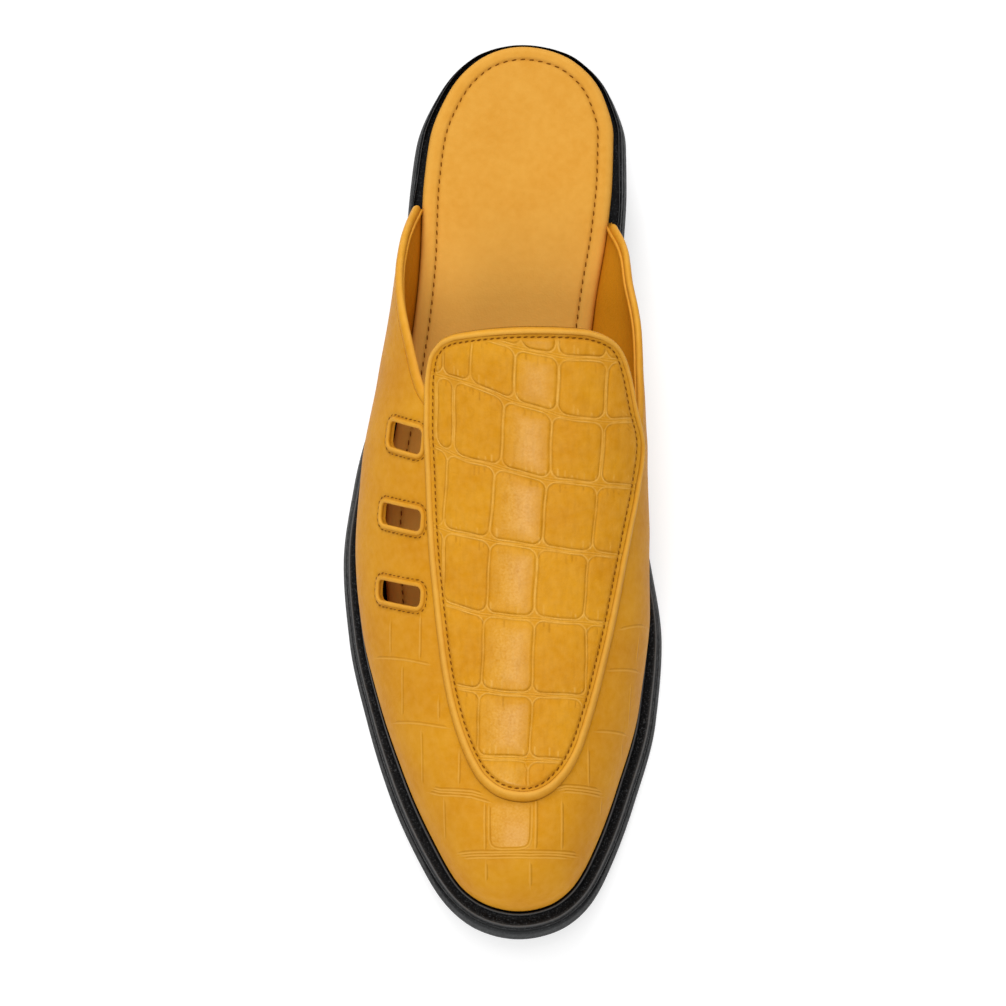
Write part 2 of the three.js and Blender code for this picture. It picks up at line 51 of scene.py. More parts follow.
# %% [markdown]
# The sizes of the shoe
#
# A shoe is drawn in millimetres on its long axis: x goes across, towards the big toe, s runs from the
# back of the heel to the toe, and z is the height over the floor. A few short tables say how wide and
# how high the shoe is at some places, and a smooth curve fills in what lies between. Curves drawn by
# hand in Blender could serve as well, but a table can be checked against a ruler.

# %% Driving sizes and how a table is read
# From FAN_START on the ribs of the last fan out round the toe; each is widest at a share WIDEST of its way
SOLE_LENGTH = 270.0
AXIS_X = 5.22
HEEL_Y = SOLE_LENGTH / 2
CLEARANCE = 0.3
UPPER_WALL = 2.0
THROAT = 108.0
APRON_END = 233.7
FAN_START = 185.0
WIDEST = 0.25
SIGN = {"lateral": -1.0, "medial": 1.0}
QUARTER_END = {"lateral": 51.5, "medial": 56.5}


def monotone(xs, ys, x):
    """A cubic through the rows of a table that never overshoots, so that level rows stay level."""
    step = np.diff(xs)
    rise = np.diff(ys) / step
    slope = np.r_[rise[0], np.zeros(len(xs) - 2), rise[-1]]
    before, after = rise[:-1], rise[1:]
    w1 = 2 * step[1:] + step[:-1]
    w2 = step[1:] + 2 * step[:-1]
    same = before * after > 0
    slope[1:-1][same] = (w1 + w2)[same] / (w1[same] / before[same] + w2[same] / after[same])
    x = np.clip(x, xs[0], xs[-1])
    i = np.clip(np.searchsorted(xs, x) - 1, 0, len(xs) - 2)
    h = step[i]
    t = (x - xs[i]) / h
    start = (2 * t**3 - 3 * t**2 + 1) * ys[i] + (t**3 - 2 * t**2 + t) * h * slope[i]
    end = (3 * t**2 - 2 * t**3) * ys[i + 1] + (t**3 - t**2) * h * slope[i + 1]
    return start + end


def table(columns, rows):
    names = columns.split()
    data = np.array(rows, float)
    return lambda name, s: monotone(data[:, 0], data[:, names.index(name)], s)


def squared_table(columns, rows):
    """Half-widths are blended as squares, so that an outline comes out round where it closes."""
    return table(columns, [[row[0]] + [width**2 for width in row[1:]] for row in rows])


print("sole", SOLE_LENGTH, "mm long, leather", UPPER_WALL, "mm thick with its lining")

# %% [markdown]
# The outline of the sole
#
# Everything at the bottom of a shoe follows one outline. It is widest at the ball of the foot, and
# curves for a right foot. The side view needs a table too, because the sole rises over the arch and
# springs up at the toe. The upper and the footbed stand a little in from the edge, each by a table of
# its own. A traced curve would do as well, but half-widths from an axis are quick to compare and to
# change.

# %% Tables of the sole
# Outsole in plan: half-widths from the long axis
OUTLINE = squared_table("s lateral medial", [
    [0, 0, 0],
    [4, 15.6, 16.6],
    [17, 26.9, 27.8],
    [30, 31.9, 31.4],
    [44, 33.7, 31.6],
    [62, 35.2, 30.6],
    [85, 38.6, 28],
    [108, 43.6, 27.8],
    [132, 49.8, 33],
    [156, 52.9, 39.2],
    [180, 50.8, 42.4],
    [204, 45.3, 40.5],
    [228, 37.7, 34.2],
    [246, 29.6, 27.8],
    [259, 21.8, 21.3],
    [266, 14.1, 14.1],
    [SOLE_LENGTH, 0, 0],
])

# Outsole from the side: the arch rises to the heel seat, the toe springs up
SOLE = table("s bottom top", [
    [0, 20, 25.5],
    [35, 19.2, 24.7],
    [70, 17.2, 22.7],
    [95, 12.6, 18.1],
    [120, 7, 12.6],
    [145, 2.2, 8],
    [166, 0, 6],
    [208, 0, 6],
    [226, 0.9, 6.9],
    [245, 3.3, 9.3],
    [260, 6.3, 12.3],
    [SOLE_LENGTH, 8.7, 14.7],
])

# How far the upper's lower edge stands in from the edge of the outsole
FLANGE = table("s lateral medial", [
    [0, 2, 2],
    [4, 2.4, 2.3],
    [20, 3.3, 3.2],
    [42, 3.2, 3.5],
    [54, 2.6, 3.1],
    [65, 3.4, 3.7],
    [80, 4.6, 4.4],
    [100, 5.5, 6.2],
    [125, 5.8, 7],
    [150, 5.9, 5.6],
    [175, 5.5, 5.9],
    [200, 5.6, 6.6],
    [225, 6.4, 6.7],
    [245, 6.6, 6.7],
    [258, 6.5, 7],
    [SOLE_LENGTH, 7.6, 7.6],
])

# How far the footbed's edge stands in from the edge of the outsole
FOOTBED_EDGE = table("s lateral medial", [
    [0, 2, 2],
    [4, 3.2, 2.8],
    [10, 3.6, 3.1],
    [20, 4, 3.6],
    [32, 4.2, 4.1],
    [44, 4.25, 4.55],
    [56, 4.65, 5.05],
    [68, 5.6, 5.6],
    [80, 6.45, 6],
    [92, 7.1, 7.2],
    [122, 9.3, 9.8],
    [144, 11.7, 9.4],
    [166, 12.7, 9],
    [200, 10.5, 9.4],
    [245, 9.4, 9.8],
    [SOLE_LENGTH, 11, 11],
])

BALL = 165
ball_width = sum(float(np.sqrt(OUTLINE(side, BALL))) for side in SIGN)
print("the ball is", round(ball_width, 1), "mm wide")

# %% [markdown]
# The lines of the upper
#
# A last is described by its crest, by sections across it, and by the lines that the pattern cutter
# draws on it: the edge of the apron and the toplines of the two quarters. Sculpting would give the form
# more freely, but these lines then would not stay where they are.

# %% Tables of the upper
# Crest of the last, where the two sides of the upper meet
CREST = table("s x z", [
    [40, 1, 113],
    [75, 2, 103],
    [103, 3, 91],
    [125, 4, 81.5],
    [150, 5, 71],
    [175, 5, 61.5],
    [200, 4, 53.5],
    [215, 3, 48.5],
    [228, 1.2, 44.3],
])

# Sections of the last: how far and how high each wall swells out, and how square its shoulder is
SECTION = table("s lateral_swell medial_swell lateral_rise medial_rise lateral_shoulder medial_shoulder", [
    [45, 1.6, 1.4, 22, 22, 2.2, 2.4],
    [57, 2.4, 3.2, 23, 24, 2.1, 2.45],
    [68, 3.5, 5.4, 23.5, 25.5, 2.05, 2.5],
    [80, 4.3, 8.1, 24, 27, 2, 2.5],
    [100, 4.6, 13.4, 22, 30, 1.9, 2.6],
    [112, 4.2, 14.4, 20, 30, 1.85, 2.6],
    [125, 3.5, 12.3, 18, 30, 1.8, 2.6],
    [150, 1.8, 5.2, 15, 24, 1.8, 2.5],
    [175, 1.3, 1.7, 13, 18, 1.85, 2.4],
    [200, 1, 1.1, 12, 14, 1.95, 2.3],
    [225, 0.9, 0.9, 10.5, 11, 2.05, 2.15],
    [250, 0.8, 0.8, 8.5, 8.5, 2.1, 2.1],
    [SOLE_LENGTH, 0.8, 0.8, 7.5, 7.5, 2.1, 2.1],
])

# Apron in plan: half-widths from the crest
APRON = squared_table("s lateral medial", [
    [THROAT, 22, 14.5],
    [108.6, 25, 18.6],
    [110, 27, 22.2],
    [112, 28.6, 24],
    [115, 29.5, 25.3],
    [119, 30.2, 26.3],
    [126, 30.6, 27.5],
    [134, 31, 29.3],
    [146, 30.9, 27.7],
    [160, 30.3, 25.1],
    [177, 28.7, 22],
    [190, 26.7, 19.8],
    [204, 23.6, 17.2],
    [214, 20.2, 15],
    [221, 16.7, 13.3],
    [226.5, 13, 11.1],
    [230.3, 9.5, 8],
    [232.3, 6.6, 5.2],
    [APRON_END, 0, 0],
])

# Height of each quarter's top edge over the floor
TOPLINE = {
    "lateral": table("s z", [
        [51.5, 25], [54, 29.5], [58, 34.7], [62, 39.5], [67, 44.3], [73, 49.2], [79, 53.4], [85, 57],
        [92, 60.7], [98, 63.3], [104, 65], [111, 65.7], [118, 66.2], [126, 68],
    ]),
    "medial": table("s z", [
        [56.5, 25], [60, 29], [63, 33], [67, 38], [71, 42.2], [76, 46.6], [82, 50.3], [90, 53.2],
        [100, 55], [110, 56], [125, 57.5], [136, 62],
    ]),
}

quarter_tops = [round(float(TOPLINE[side]("z", THROAT)), 1) for side in SIGN]
print("at the throat the quarters are", quarter_tops, "mm over the floor")

# %% [markdown]
# The last
#
# Ribs rise from the edge of the sole to the crest. Each goes up with a slight swell and then turns over
# like a rounded arch. A rib could be drawn by hand as a curve, but as a function of a place s and a
# share v it gives a point for any mesh, coarse or fine.

# %% Ribs of the last
RIB_SAMPLES = 2200
NUDGE = 0.02
TINY = 1e-12


def unit(vectors):
    return vectors / np.maximum(np.linalg.norm(vectors, axis=-1, keepdims=True), TINY)


def inset_point(outline, ends, centre, side, s, distance):
    """A point of an outline, moved in from it along its normal."""
    after = np.minimum(s + NUDGE, ends[1])
    before = np.maximum(s - NUDGE, ends[0])
    half = np.sqrt(np.maximum(outline(side, s), 0))
    slope = (outline(side, after) - outline(side, before)) / (after - before)
    length = np.hypot(half, slope / 2)
    x = centre(s) + SIGN[side] * (half - half / length * distance)
    return x, s + slope / 2 / length * distance


def sole_edge(side, s, distance):
    return inset_point(OUTLINE, (0, SOLE_LENGTH), lambda at: 0, side, s, distance)


def apron_edge(side, s, distance):
    return inset_point(APRON, (THROAT, APRON_END), lambda at: CREST("x", at), side, s, distance)


def make_ribs(side, s):
    foot_x, foot_s = sole_edge(side, s, FLANGE(side, s))
    share = np.clip((s - FAN_START) / (SOLE_LENGTH - FAN_START), 0, 1)
    crest_s = np.minimum(s, FAN_START) + (SOLE_LENGTH - FAN_START) * (share - share**2 / 2)
    crest_x = CREST("x", crest_s)
    reach = np.hypot(foot_x - crest_x, foot_s - crest_s)
    bottom = SOLE("top", foot_s) + CLEARANCE
    rise = SECTION(f"{side}_rise", s)
    swell = SECTION(f"{side}_swell", s)
    return {
        "s": s, "foot_x": foot_x, "foot_s": foot_s, "crest_x": crest_x, "crest_s": crest_s,
        "toward_x": (foot_x - crest_x) / reach, "toward_s": (foot_s - crest_s) / reach,
        "reach": reach, "bottom": bottom, "rise": rise, "swell": swell, "widest": reach + swell,
        "shoulder": SECTION(f"{side}_shoulder", s), "vault": CREST("z", crest_s) - bottom - rise,
    }


def rib_points(ribs, v):
    """Points of each rib at shares v: one row of shares for each rib."""
    rib = {name: values[:, None] for name, values in ribs.items()}
    t = np.clip(v / WIDEST, 0, 1)
    turn = np.clip((v - WIDEST) / (1 - WIDEST), 0, 1) * math.pi / 2
    power = 2 / rib["shoulder"]
    low = v < WIDEST
    swollen = rib["reach"] + rib["swell"] * (3 * t**2 - 2 * t**3)
    off = np.where(low, swollen, rib["widest"] * np.clip(np.cos(turn), 0, 1) ** power)
    up = np.where(low, rib["rise"] * t, rib["rise"] + rib["vault"] * np.sin(turn) ** power)
    x = rib["crest_x"] + rib["toward_x"] * off
    return np.stack([x, rib["crest_s"] + rib["toward_s"] * off, rib["bottom"] + up], -1)


rib_places = np.linspace(QUARTER_END["lateral"], SOLE_LENGTH, RIB_SAMPLES)
RIBS = {side: make_ribs(side, rib_places) for side in SIGN}
print("ribs:", RIB_SAMPLES, "on each side")

# %% [markdown]
# Height over the plan
#
# The apron is drawn in plan and then laid on the last, so it asks the other question: how high is the
# last over a point of the plan? Ribs never cross, so halving an interval again and again finds the one
# that passes over the point. A shrinkwrap modifier does something similar, but only to the accuracy of
# the mesh below it.

# %% Height of the last over the plan
BISECTIONS = 30


def height_over(side, x, s):
    """Finds the rib that passes over each point of the plan, and its height there."""
    ribs = RIBS[side]
    behind = np.full_like(x, ribs["s"][0])
    ahead = np.full_like(x, ribs["s"][-1])
    for _ in range(BISECTIONS):
        middle = (behind + ahead) / 2
        at = {k: np.interp(middle, ribs["s"], ribs[k]) for k in ("foot_x", "foot_s", "crest_x", "crest_s")}
        turn = (at["foot_x"] - at["crest_x"]) * (s - at["crest_s"])
        turn = turn - (at["foot_s"] - at["crest_s"]) * (x - at["crest_x"])
        passed = turn * SIGN[side] > 0
        behind = np.where(passed, middle, behind)
        ahead = np.where(passed, ahead, middle)
    rib = {name: np.interp(ahead, ribs["s"], values) for name, values in ribs.items()}
    off = np.hypot(x - rib["crest_x"], s - rib["crest_s"])
    left = np.clip(1 - (off / rib["widest"]) ** rib["shoulder"], 0, 1)
    return rib["bottom"] + rib["rise"] + rib["vault"] * left ** (1 / rib["shoulder"])


def lift(x, s):
    """The upper's outer face over points of the plan, above the swell of its walls."""
    x, s = np.broadcast_arrays(np.asarray(x, float), np.asarray(s, float))
    z = np.where(x < CREST("x", s), height_over("lateral", x, s), height_over("medial", x, s))
    return np.stack([x, s, z], -1)


def lift_normal(x, s):
    along_x = lift(x + NUDGE, s) - lift(x - NUDGE, s)
    along_s = lift(x, s + NUDGE) - lift(x, s - NUDGE)
    return unit(np.cross(along_x, along_s))


print("instep is", round(float(lift(CREST("x", THROAT), THROAT)[2]), 1), "mm over the floor")

# %% [markdown]
# From points to meshes
#
# Blender wants vertices and faces in metres. These helpers turn rows and rings of points into faces,
# weld what meets and point all faces outwards. Values for each point, such as how rubbed the leather
# is, go along as attributes that a material can read. Modelling tools could do the same step by step,
# but a function can be run again after every change of a table.

# %% Points, faces and meshes
WELD = 1e-6


def to_frame(points):
    """Shoe millimetres (x, s, z) to the frame's metres."""
    p = np.asarray(points, float)
    return np.stack([AXIS_X + p[..., 0], HEEL_Y - p[..., 1], p[..., 2]], -1) * MM


def grid_faces(rows, columns, first=0):
    """Quads between the points of a grid, row by row."""
    corner = first + np.arange(rows * columns).reshape(rows, columns)[:-1, :-1]
    quads = np.stack([corner, corner + 1, corner + columns + 1, corner + columns], -1)
    return quads.reshape(-1, 4).tolist()


def ring_faces(rings, count, closed):
    """Quads between closed rings of equal count; closed joins the last ring to the first."""
    ring = np.arange(rings if closed else rings - 1)[:, None]
    i = np.arange(count)[None, :]
    here = ring * count
    there = (ring + 1) % rings * count
    j = (i + 1) % count
    return np.stack([here + i, here + j, there + j, there + i], -1).reshape(-1, 4).tolist()


def capped_rings(rings, count):
    """The faces of a closed bar: quads between its rings and a cap at each end."""
    last = (rings - 1) * count
    return ring_faces(rings, count, False) + [list(range(count)), list(range(last, last + count))]


def moved_faces(faces, first):
    """Faces whose points start at another number."""
    return [[first + corner for corner in face] for face in faces]


def make_mesh(name, points, faces, values=None):
    mesh = bpy.data.meshes.new(name)
    mesh.from_pydata(to_frame(points).tolist(), [], faces)
    for key, data in (values or {}).items():
        attribute = mesh.attributes.new(key, "FLOAT", "POINT")
        attribute.data.foreach_set("value", np.asarray(data, np.float32))
    body = bmesh.new()
    body.from_mesh(mesh)
    bmesh.ops.remove_doubles(body, verts=body.verts, dist=WELD)
    bmesh.ops.dissolve_degenerate(body, edges=body.edges, dist=WELD)
    bmesh.ops.recalc_face_normals(body, faces=body.faces)
    body.to_mesh(mesh)
    body.free()
    return mesh


print("the tip of the toe lies at", to_frame([0, SOLE_LENGTH, SOLE("top", SOLE_LENGTH)]).round(4).tolist())

# %% [markdown]
# Pieces
#
# A mesh becomes a piece of the shoe when it has its shading and its material, hangs on the frame's one
# body, and hides the plain solids that it stands for. One helper does all of that, so that no piece can
# miss a step.

# %% Pieces
SHARP_DEGREES = 50


def make_piece(name, mesh, material, slot, *nodes):
    """A finished piece: its shading, material and body, and the solids that it replaces; slot is not used.
    """
    mesh.shade_smooth()
    mesh.set_sharp_from_angle(angle=math.radians(SHARP_DEGREES))
    mesh.materials.append(material)
    piece = bpy.data.objects.new(name, mesh)
    bpy.context.scene.collection.objects.link(piece)
    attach(piece, "root")
    if nodes:
        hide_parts(*nodes)
    print(name, "has", len(mesh.vertices), "vertices and", len(mesh.polygons), "faces")
    return piece


print("edges over", SHARP_DEGREES, "degrees stay sharp")

# %% [markdown]
# Sheets of leather
#
# A sheet of leather gets its thickness here: a fine grid in front shows the relief, a coarser one
# behind is the lining, and a rim joins the two. A solidify modifier would be shorter, but it would make
# the hidden side as fine as the front.

# %% Shells
def grid_normals(grid):
    """Outward normals of a grid of points that looks up more than down."""
    normals = unit(np.cross(np.gradient(grid, axis=1), np.gradient(grid, axis=0)))
    return normals * np.sign(normals[..., 2].mean())


def shell(name, front, back, values):
    """A closed shell of a fine front grid and a back grid with the same rows and fewer columns."""
    rows, columns = front.shape[:2]
    back_columns = back.shape[1]
    step = (columns - 1) // (back_columns - 1)
    front_at = np.arange(rows * columns).reshape(rows, columns)
    back_at = rows * columns + np.arange(rows * back_columns).reshape(rows, back_columns)
    faces = grid_faces(rows, columns) + grid_faces(rows, back_columns, rows * columns)
    for side in (0, -1):
        f, b = front_at[:, side], back_at[:, side]
        faces += np.stack([f[:-1], f[1:], b[1:], b[:-1]], -1).tolist()
        for j in range(back_columns - 1):
            fine = front_at[side, j * step:(j + 1) * step + 1].tolist()
            faces.append(fine + [back_at[side, j + 1], back_at[side, j]])
    points = np.r_[front.reshape(-1, 3), back.reshape(-1, 3)]
    both = {key: np.r_[data.ravel(), np.zeros(back_at.size)] for key, data in values.items()}
    both["inside"] = np.r_[np.zeros(front_at.size), np.ones(back_at.size)]
    print(name, "has a front of", rows, "by", columns, "points")
    return make_mesh(name, points, faces, both)


print("a sheet of", UPPER_WALL, "mm stands for outer leather and lining together")

# %% [markdown]
# Lines and soft steps
#
# Seams and rims need points at equal steps along a line, and a relief needs soft steps and bells
# instead of hard edges, because pressed leather has none. Blender's curves could be sampled too, but
# then every seam would need an object of its own.

# %% Lines and soft steps
def between(start, end, share):
    """The value at a share of the way from start to end."""
    return start + (end - start) * share


def fine_ends(count, start, end, crowding=1.0):
    """Values from start to end that crowd together at both ends."""
    even = np.linspace(0, 1, count)
    return between(start, end, even + crowding * ((1 - np.cos(math.pi * even)) / 2 - even))


def resample(points, step, closed):
    """Points at equal steps along a line."""
    line = np.r_[points, points[:1]] if closed else np.asarray(points)
    run = np.r_[0, np.cumsum(np.linalg.norm(np.diff(line, axis=0), axis=1))]
    count = max(int(round(run[-1] / step)), 2)
    at = np.linspace(0, run[-1], count + 1)[: count if closed else count + 1]
    return np.stack([np.interp(at, run, line[:, k]) for k in range(line.shape[1])], -1)


def smoothstep(low, high, value):
    t = np.clip((value - low) / (high - low), 0, 1)
    return t * t * (3 - 2 * t)


def bell(value, width):
    return np.exp(-((value / width) ** 2))


print("five places that crowd at both ends:", fine_ends(5, 0, 1).round(2).tolist())

# %% [markdown]
# Colours and nodes
#
# A material in Blender is a small net of nodes that ends in one shader. It can be clicked together by
# hand, which is fine for one material. For eight of them a few helpers are easier to read: they turn a
# colour of the screen into Blender's, add a node, calculate with two values and mix two colours.

# %% Colours and nodes
SCREEN_WHITE = 255
SRGB_KNEE = 0.04045
SRGB_SLOPE = 12.92
SRGB_OFFSET = 0.055
SRGB_POWER = 2.4
MIX_A = 6
MIX_B = 7
MIX_RESULT = 2


def srgb(red, green, blue):
    """A colour as seen on a screen, 0 to 255, to Blender's linear values."""
    share = np.array([red, green, blue]) / SCREEN_WHITE
    curved = ((share + SRGB_OFFSET) / (1 + SRGB_OFFSET)) ** SRGB_POWER
    return (*np.where(share <= SRGB_KNEE, share / SRGB_SLOPE, curved).tolist(), 1.0)


def add_node(tree, kind, inputs=None, **settings):
    """A shader node with its settings; an input takes a value or another node's output."""
    made = tree.nodes.new(kind)
    for key, value in settings.items():
        setattr(made, key, value)
    for key, value in (inputs or {}).items():
        if isinstance(value, bpy.types.NodeSocket):
            tree.links.new(value, made.inputs[key])
        else:
            made.inputs[key].default_value = value
    return made


def calc(tree, operation, first, second=0.0):
    return add_node(tree, "ShaderNodeMath", {0: first, 1: second}, operation=operation).outputs["Value"]


def plus(tree, first, second):
    return calc(tree, "ADD", first, second)


def times(tree, first, second):
    return calc(tree, "MULTIPLY", first, second)


def mix_colour(tree, factor, first, second):
    inputs = {0: factor, MIX_A: first, MIX_B: second}
    return add_node(tree, "ShaderNodeMix", inputs, data_type="RGBA").outputs[MIX_RESULT]


def new_material(name, **constants):
    material = bpy.data.materials.new(name)
    material.use_nodes = True
    shader = material.node_tree.nodes["Principled BSDF"]
    for key, value in constants.items():
        shader.inputs[key.replace("_", " ")].default_value = value
    return material, material.node_tree, shader


def link_finish(tree, shader, finish):
    """Links what the nodes made to the shader's sockets of the same names."""
    for name, made in finish.items():
        tree.links.new(made, shader.inputs[name])


MID_GREY = srgb(128, 128, 128)
print("half grey on the screen is", round(MID_GREY[0], 3), "in linear light")

# %% [markdown]
# Noise, lines and relief
#
# No real surface is even, so every material here starts from noise. The nodes can also fetch a value
# that the mesh carries at each of its points, draw a soft line at a given distance, and tilt the light
# as a fine relief would. Pictures wrapped over the shoe could do all that, but they would need to be
# painted first and would stretch.

# %% Noise, lines and relief
NOISE_RANGE = (0.3, 0.7)
NO_STRETCH = (1, 1, 1)


def noise(tree, scale, detail, low, high, stretch=NO_STRETCH):
    """Noise in the piece's own metres, spread between two values; a small stretch makes streaks."""
    place = add_node(tree, "ShaderNodeTexCoord").outputs["Object"]
    drawn = add_node(tree, "ShaderNodeVectorMath", {0: place, 1: stretch}, operation="MULTIPLY")
    inputs = {"Vector": drawn.outputs["Vector"], "Scale": scale, "Detail": detail}
    cloud = add_node(tree, "ShaderNodeTexNoise", inputs).outputs["Fac"]
    spread = {"Value": cloud, "To Min": low, "To Max": high}
    spread["From Min"], spread["From Max"] = NOISE_RANGE
    return add_node(tree, "ShaderNodeMapRange", spread).outputs["Result"]


def painted(tree, name, strength=1.0):
    """One of the values that the mesh carries, times a strength."""
    value = add_node(tree, "ShaderNodeAttribute", attribute_name=name).outputs["Fac"]
    return times(tree, value, strength)


def soft_line(tree, distance, place, width):
    """One along a line at a place in a distance, falling off to both sides over a width."""
    off = calc(tree, "DIVIDE", calc(tree, "SUBTRACT", distance, place), width)
    return calc(tree, "POWER", math.exp(-1), times(tree, off, off))


def bump(tree, height, depth, below=None, strength=1.0):
    """Tilts the light as a relief of a depth in millimetres would, on top of the bump below it."""
    inputs = {"Height": height, "Strength": strength, "Distance": depth * MM}
    if below is not None:
        inputs["Normal"] = below
    return add_node(tree, "ShaderNodeBump", inputs).outputs["Normal"]


print("noise runs over the middle", NOISE_RANGE, "of its range")

# %% [markdown]
# Leather
#
# Finished calf is never one flat colour: dye settles unevenly over a centimetre or so, pores break the
# gloss at half a millimetre, and creases look darker, which the colour paints in as shade. A painted
# picture could show that, but noise made by nodes has no edges and works on any shape. The meshes carry
# values for each point: one says where shade is painted into a crease, a channel or the foot of a roll,
# another where light is painted on, as a highlight on a lip or a crest or over the footbed's shade, and
# gloss where a scale was polished and a sparkle is painted on; inside says where the lining begins.
# Edge and row are distances to the border of a scale and to the middle of the band between two rows;
# from a distance the nodes can draw a line that is finer than the mesh, with painted shade in its
# groove and a painted highlight on its lip.

# %% Colours of the leather and its pressed lines
MUSTARD = srgb(211, 146, 30)
MUSTARD_BURNISH = srgb(190, 119, 16)
SHADE_AND_STREAKS = srgb(122, 70, 2)
MOTTLE_AND_HIGHLIGHT = srgb(236, 184, 92)
LINING = srgb(212, 143, 28)
FOOTBED = srgb(209, 149, 57)
FOOTBED_BURNISH = srgb(201, 136, 41)
EDGE_WIDTH = 0.2
LIP_PLACE = -0.42
WRINKLE_PITCH = 0.75

# Noise: features per metre, detail, the two values that it is spread between, and its stretch if it has one
LEATHER_NOISE = {
    "bite": (230, 3, 0.45, 1.25),
    "lip": (330, 3, 0.3, 1.3),
    "cloud": (70, 4, 0, 0.5),
    "mottle": (420, 5, 0, 0.16),
    # The grain noise paints a sparkle: bright specks on polished plates where their gloss would glint
    "grain": (1500, 3, 0.02, 0.42),
    "streaks": (800, 4, -0.05, 0.1, (1, 0.25, 0.25)),
    "pores": (1500, 3, 0, 1),
    "creases": (420, 5, 0, 1),
}

# How strongly a line, or a value of the mesh, shows in the colour: wrinkles, ridges and lips as a
# painted highlight, creases and grooves as painted shade
SHOWS = {"wrinkle": 0.28, "ridge": 0.22, "lip": 0.5, "painted_shade": 0.45, "groove": 0.34}


def leather_noise(tree, name):
    return noise(tree, *LEATHER_NOISE[name])


def pressed_lines(tree):
    """Fine lines of the embossing: the groove round a scale, its lip, the wrinkles between two rows."""
    edge = painted(tree, "edge")
    bite = times(tree, painted(tree, "crisp"), leather_noise(tree, "bite"))
    lip = times(tree, painted(tree, "lip"), soft_line(tree, edge, LIP_PLACE, EDGE_WIDTH))
    wave = calc(tree, "COSINE", painted(tree, "row", 2 * math.pi / WRINKLE_PITCH))
    return {
        "groove": times(tree, bite, soft_line(tree, edge, 0, EDGE_WIDTH)),
        "lip": times(tree, lip, leather_noise(tree, "lip")),
        "wrinkle": times(tree, painted(tree, "band"), wave),
    }


def leather_tone(tree, lines, colour, burnish):
    """The dye with its clouds, then mottle and painted highlights, then painted shade and streaks, then the
    lining.
    """
    tone = mix_colour(tree, leather_noise(tree, "cloud"), colour, burnish)
    # A painted sparkle on the polished plates
    polish_and_painted_sparkle = times(tree, painted(tree, "gloss_and_painted_sparkle"), leather_noise(tree, "grain"))
    ridge = painted(tree, "ridge", SHOWS["ridge"])
    # Lighter: random mottle, then a painted sparkle and painted highlights on wrinkles, ridges and lips
    mottle_and_highlights = [
        leather_noise(tree, "mottle"),
        polish_and_painted_sparkle,
        times(tree, lines["wrinkle"], SHOWS["wrinkle"]),
        plus(tree, ridge, times(tree, lines["lip"], SHOWS["lip"])),
    ]
    for share in mottle_and_highlights:
        tone = mix_colour(tree, share, tone, MOTTLE_AND_HIGHLIGHT)
    # Darker toward a deep brown: painted shade in creases, channels and grooves, and streaks at random
    painted_shade = painted(tree, "painted_shade", SHOWS["painted_shade"])
    dark = plus(tree, painted_shade, times(tree, lines["groove"], SHOWS["groove"]))
    streaks = times(tree, leather_noise(tree, "streaks"), painted(tree, "lip"))
    tone = mix_colour(tree, plus(tree, dark, streaks), tone, SHADE_AND_STREAKS)
    return mix_colour(tree, painted(tree, "inside"), tone, LINING)


print("leather: noise in", len(LEATHER_NOISE), "scales")

# %% [markdown]
# Gloss and relief of the leather
#
# Pores and creases are a few hundredths of a millimetre deep, too fine for a mesh, so three bumps on
# top of each other tilt the light instead. Polished scales get a thin clear coat, much as a finisher
# glazes them with a smooth stone. Four leathers share these nodes and differ in colour, roughness and
# the depth of their pores.

# %% The four leathers
EDGE_DEPTH = 0.08
LIP_RISE = 0.07
WRINKLE_RISE = 0.04
CREASE_STRENGTH = 0.8
LINE_BUMP = 1.0
LEATHER_SPECULAR = 0.025
COAT_ROUGHNESS = 0.27
COAT_SHARE = 0.28
POLISH_SMOOTHS = 0.1
LEATHER_MATT = {"scale": 900, "detail": 2, "spread": 0.05}

# Leathers: colour, burnish, roughness and depth of the pores in millimetres
LEATHERS = {
    "embossed_leather": (MUSTARD, MUSTARD_BURNISH, 0.46, 0.04),
    "smooth_leather": (MUSTARD, MUSTARD_BURNISH, 0.4, 0.02),
    "lining_leather": (LINING, MUSTARD_BURNISH, 0.55, 0.03),
    "footbed_leather": (FOOTBED, FOOTBED_BURNISH, 0.5, 0.025),
}


def matt(tree, roughness, scale, detail, spread):
    """Roughness that varies a little from place to place."""
    return noise(tree, scale, detail, roughness - spread, roughness + spread)


def leather_relief(tree, lines, pore_depth):
    normal = bump(tree, leather_noise(tree, "pores"), pore_depth)
    normal = bump(tree, leather_noise(tree, "creases"), pore_depth, normal, CREASE_STRENGTH)
    rises = plus(tree, times(tree, lines["lip"], LIP_RISE), times(tree, lines["wrinkle"], WRINKLE_RISE))
    height = calc(tree, "SUBTRACT", rises, times(tree, lines["groove"], EDGE_DEPTH))
    return bump(tree, height, LINE_BUMP, normal)


def leather(name, colour, burnish, roughness, pore_depth):
    constants = {"Specular_IOR_Level": LEATHER_SPECULAR, "Coat_Roughness": COAT_ROUGHNESS}
    material, tree, shader = new_material(name, **constants)
    lines = pressed_lines(tree)
    shine = painted(tree, "gloss_and_painted_sparkle")
    finish = {
        "Base Color": leather_tone(tree, lines, colour, burnish),
        "Coat Weight": times(tree, shine, COAT_SHARE),
        "Roughness": plus(tree, matt(tree, roughness, **LEATHER_MATT), times(tree, shine, -POLISH_SMOOTHS)),
        "Normal": leather_relief(tree, lines, pore_depth),
    }
    link_finish(tree, shader, finish)
    return material


LEATHER = {name: leather(name, *look) for name, look in LEATHERS.items()}
print("leathers:", list(LEATHER))
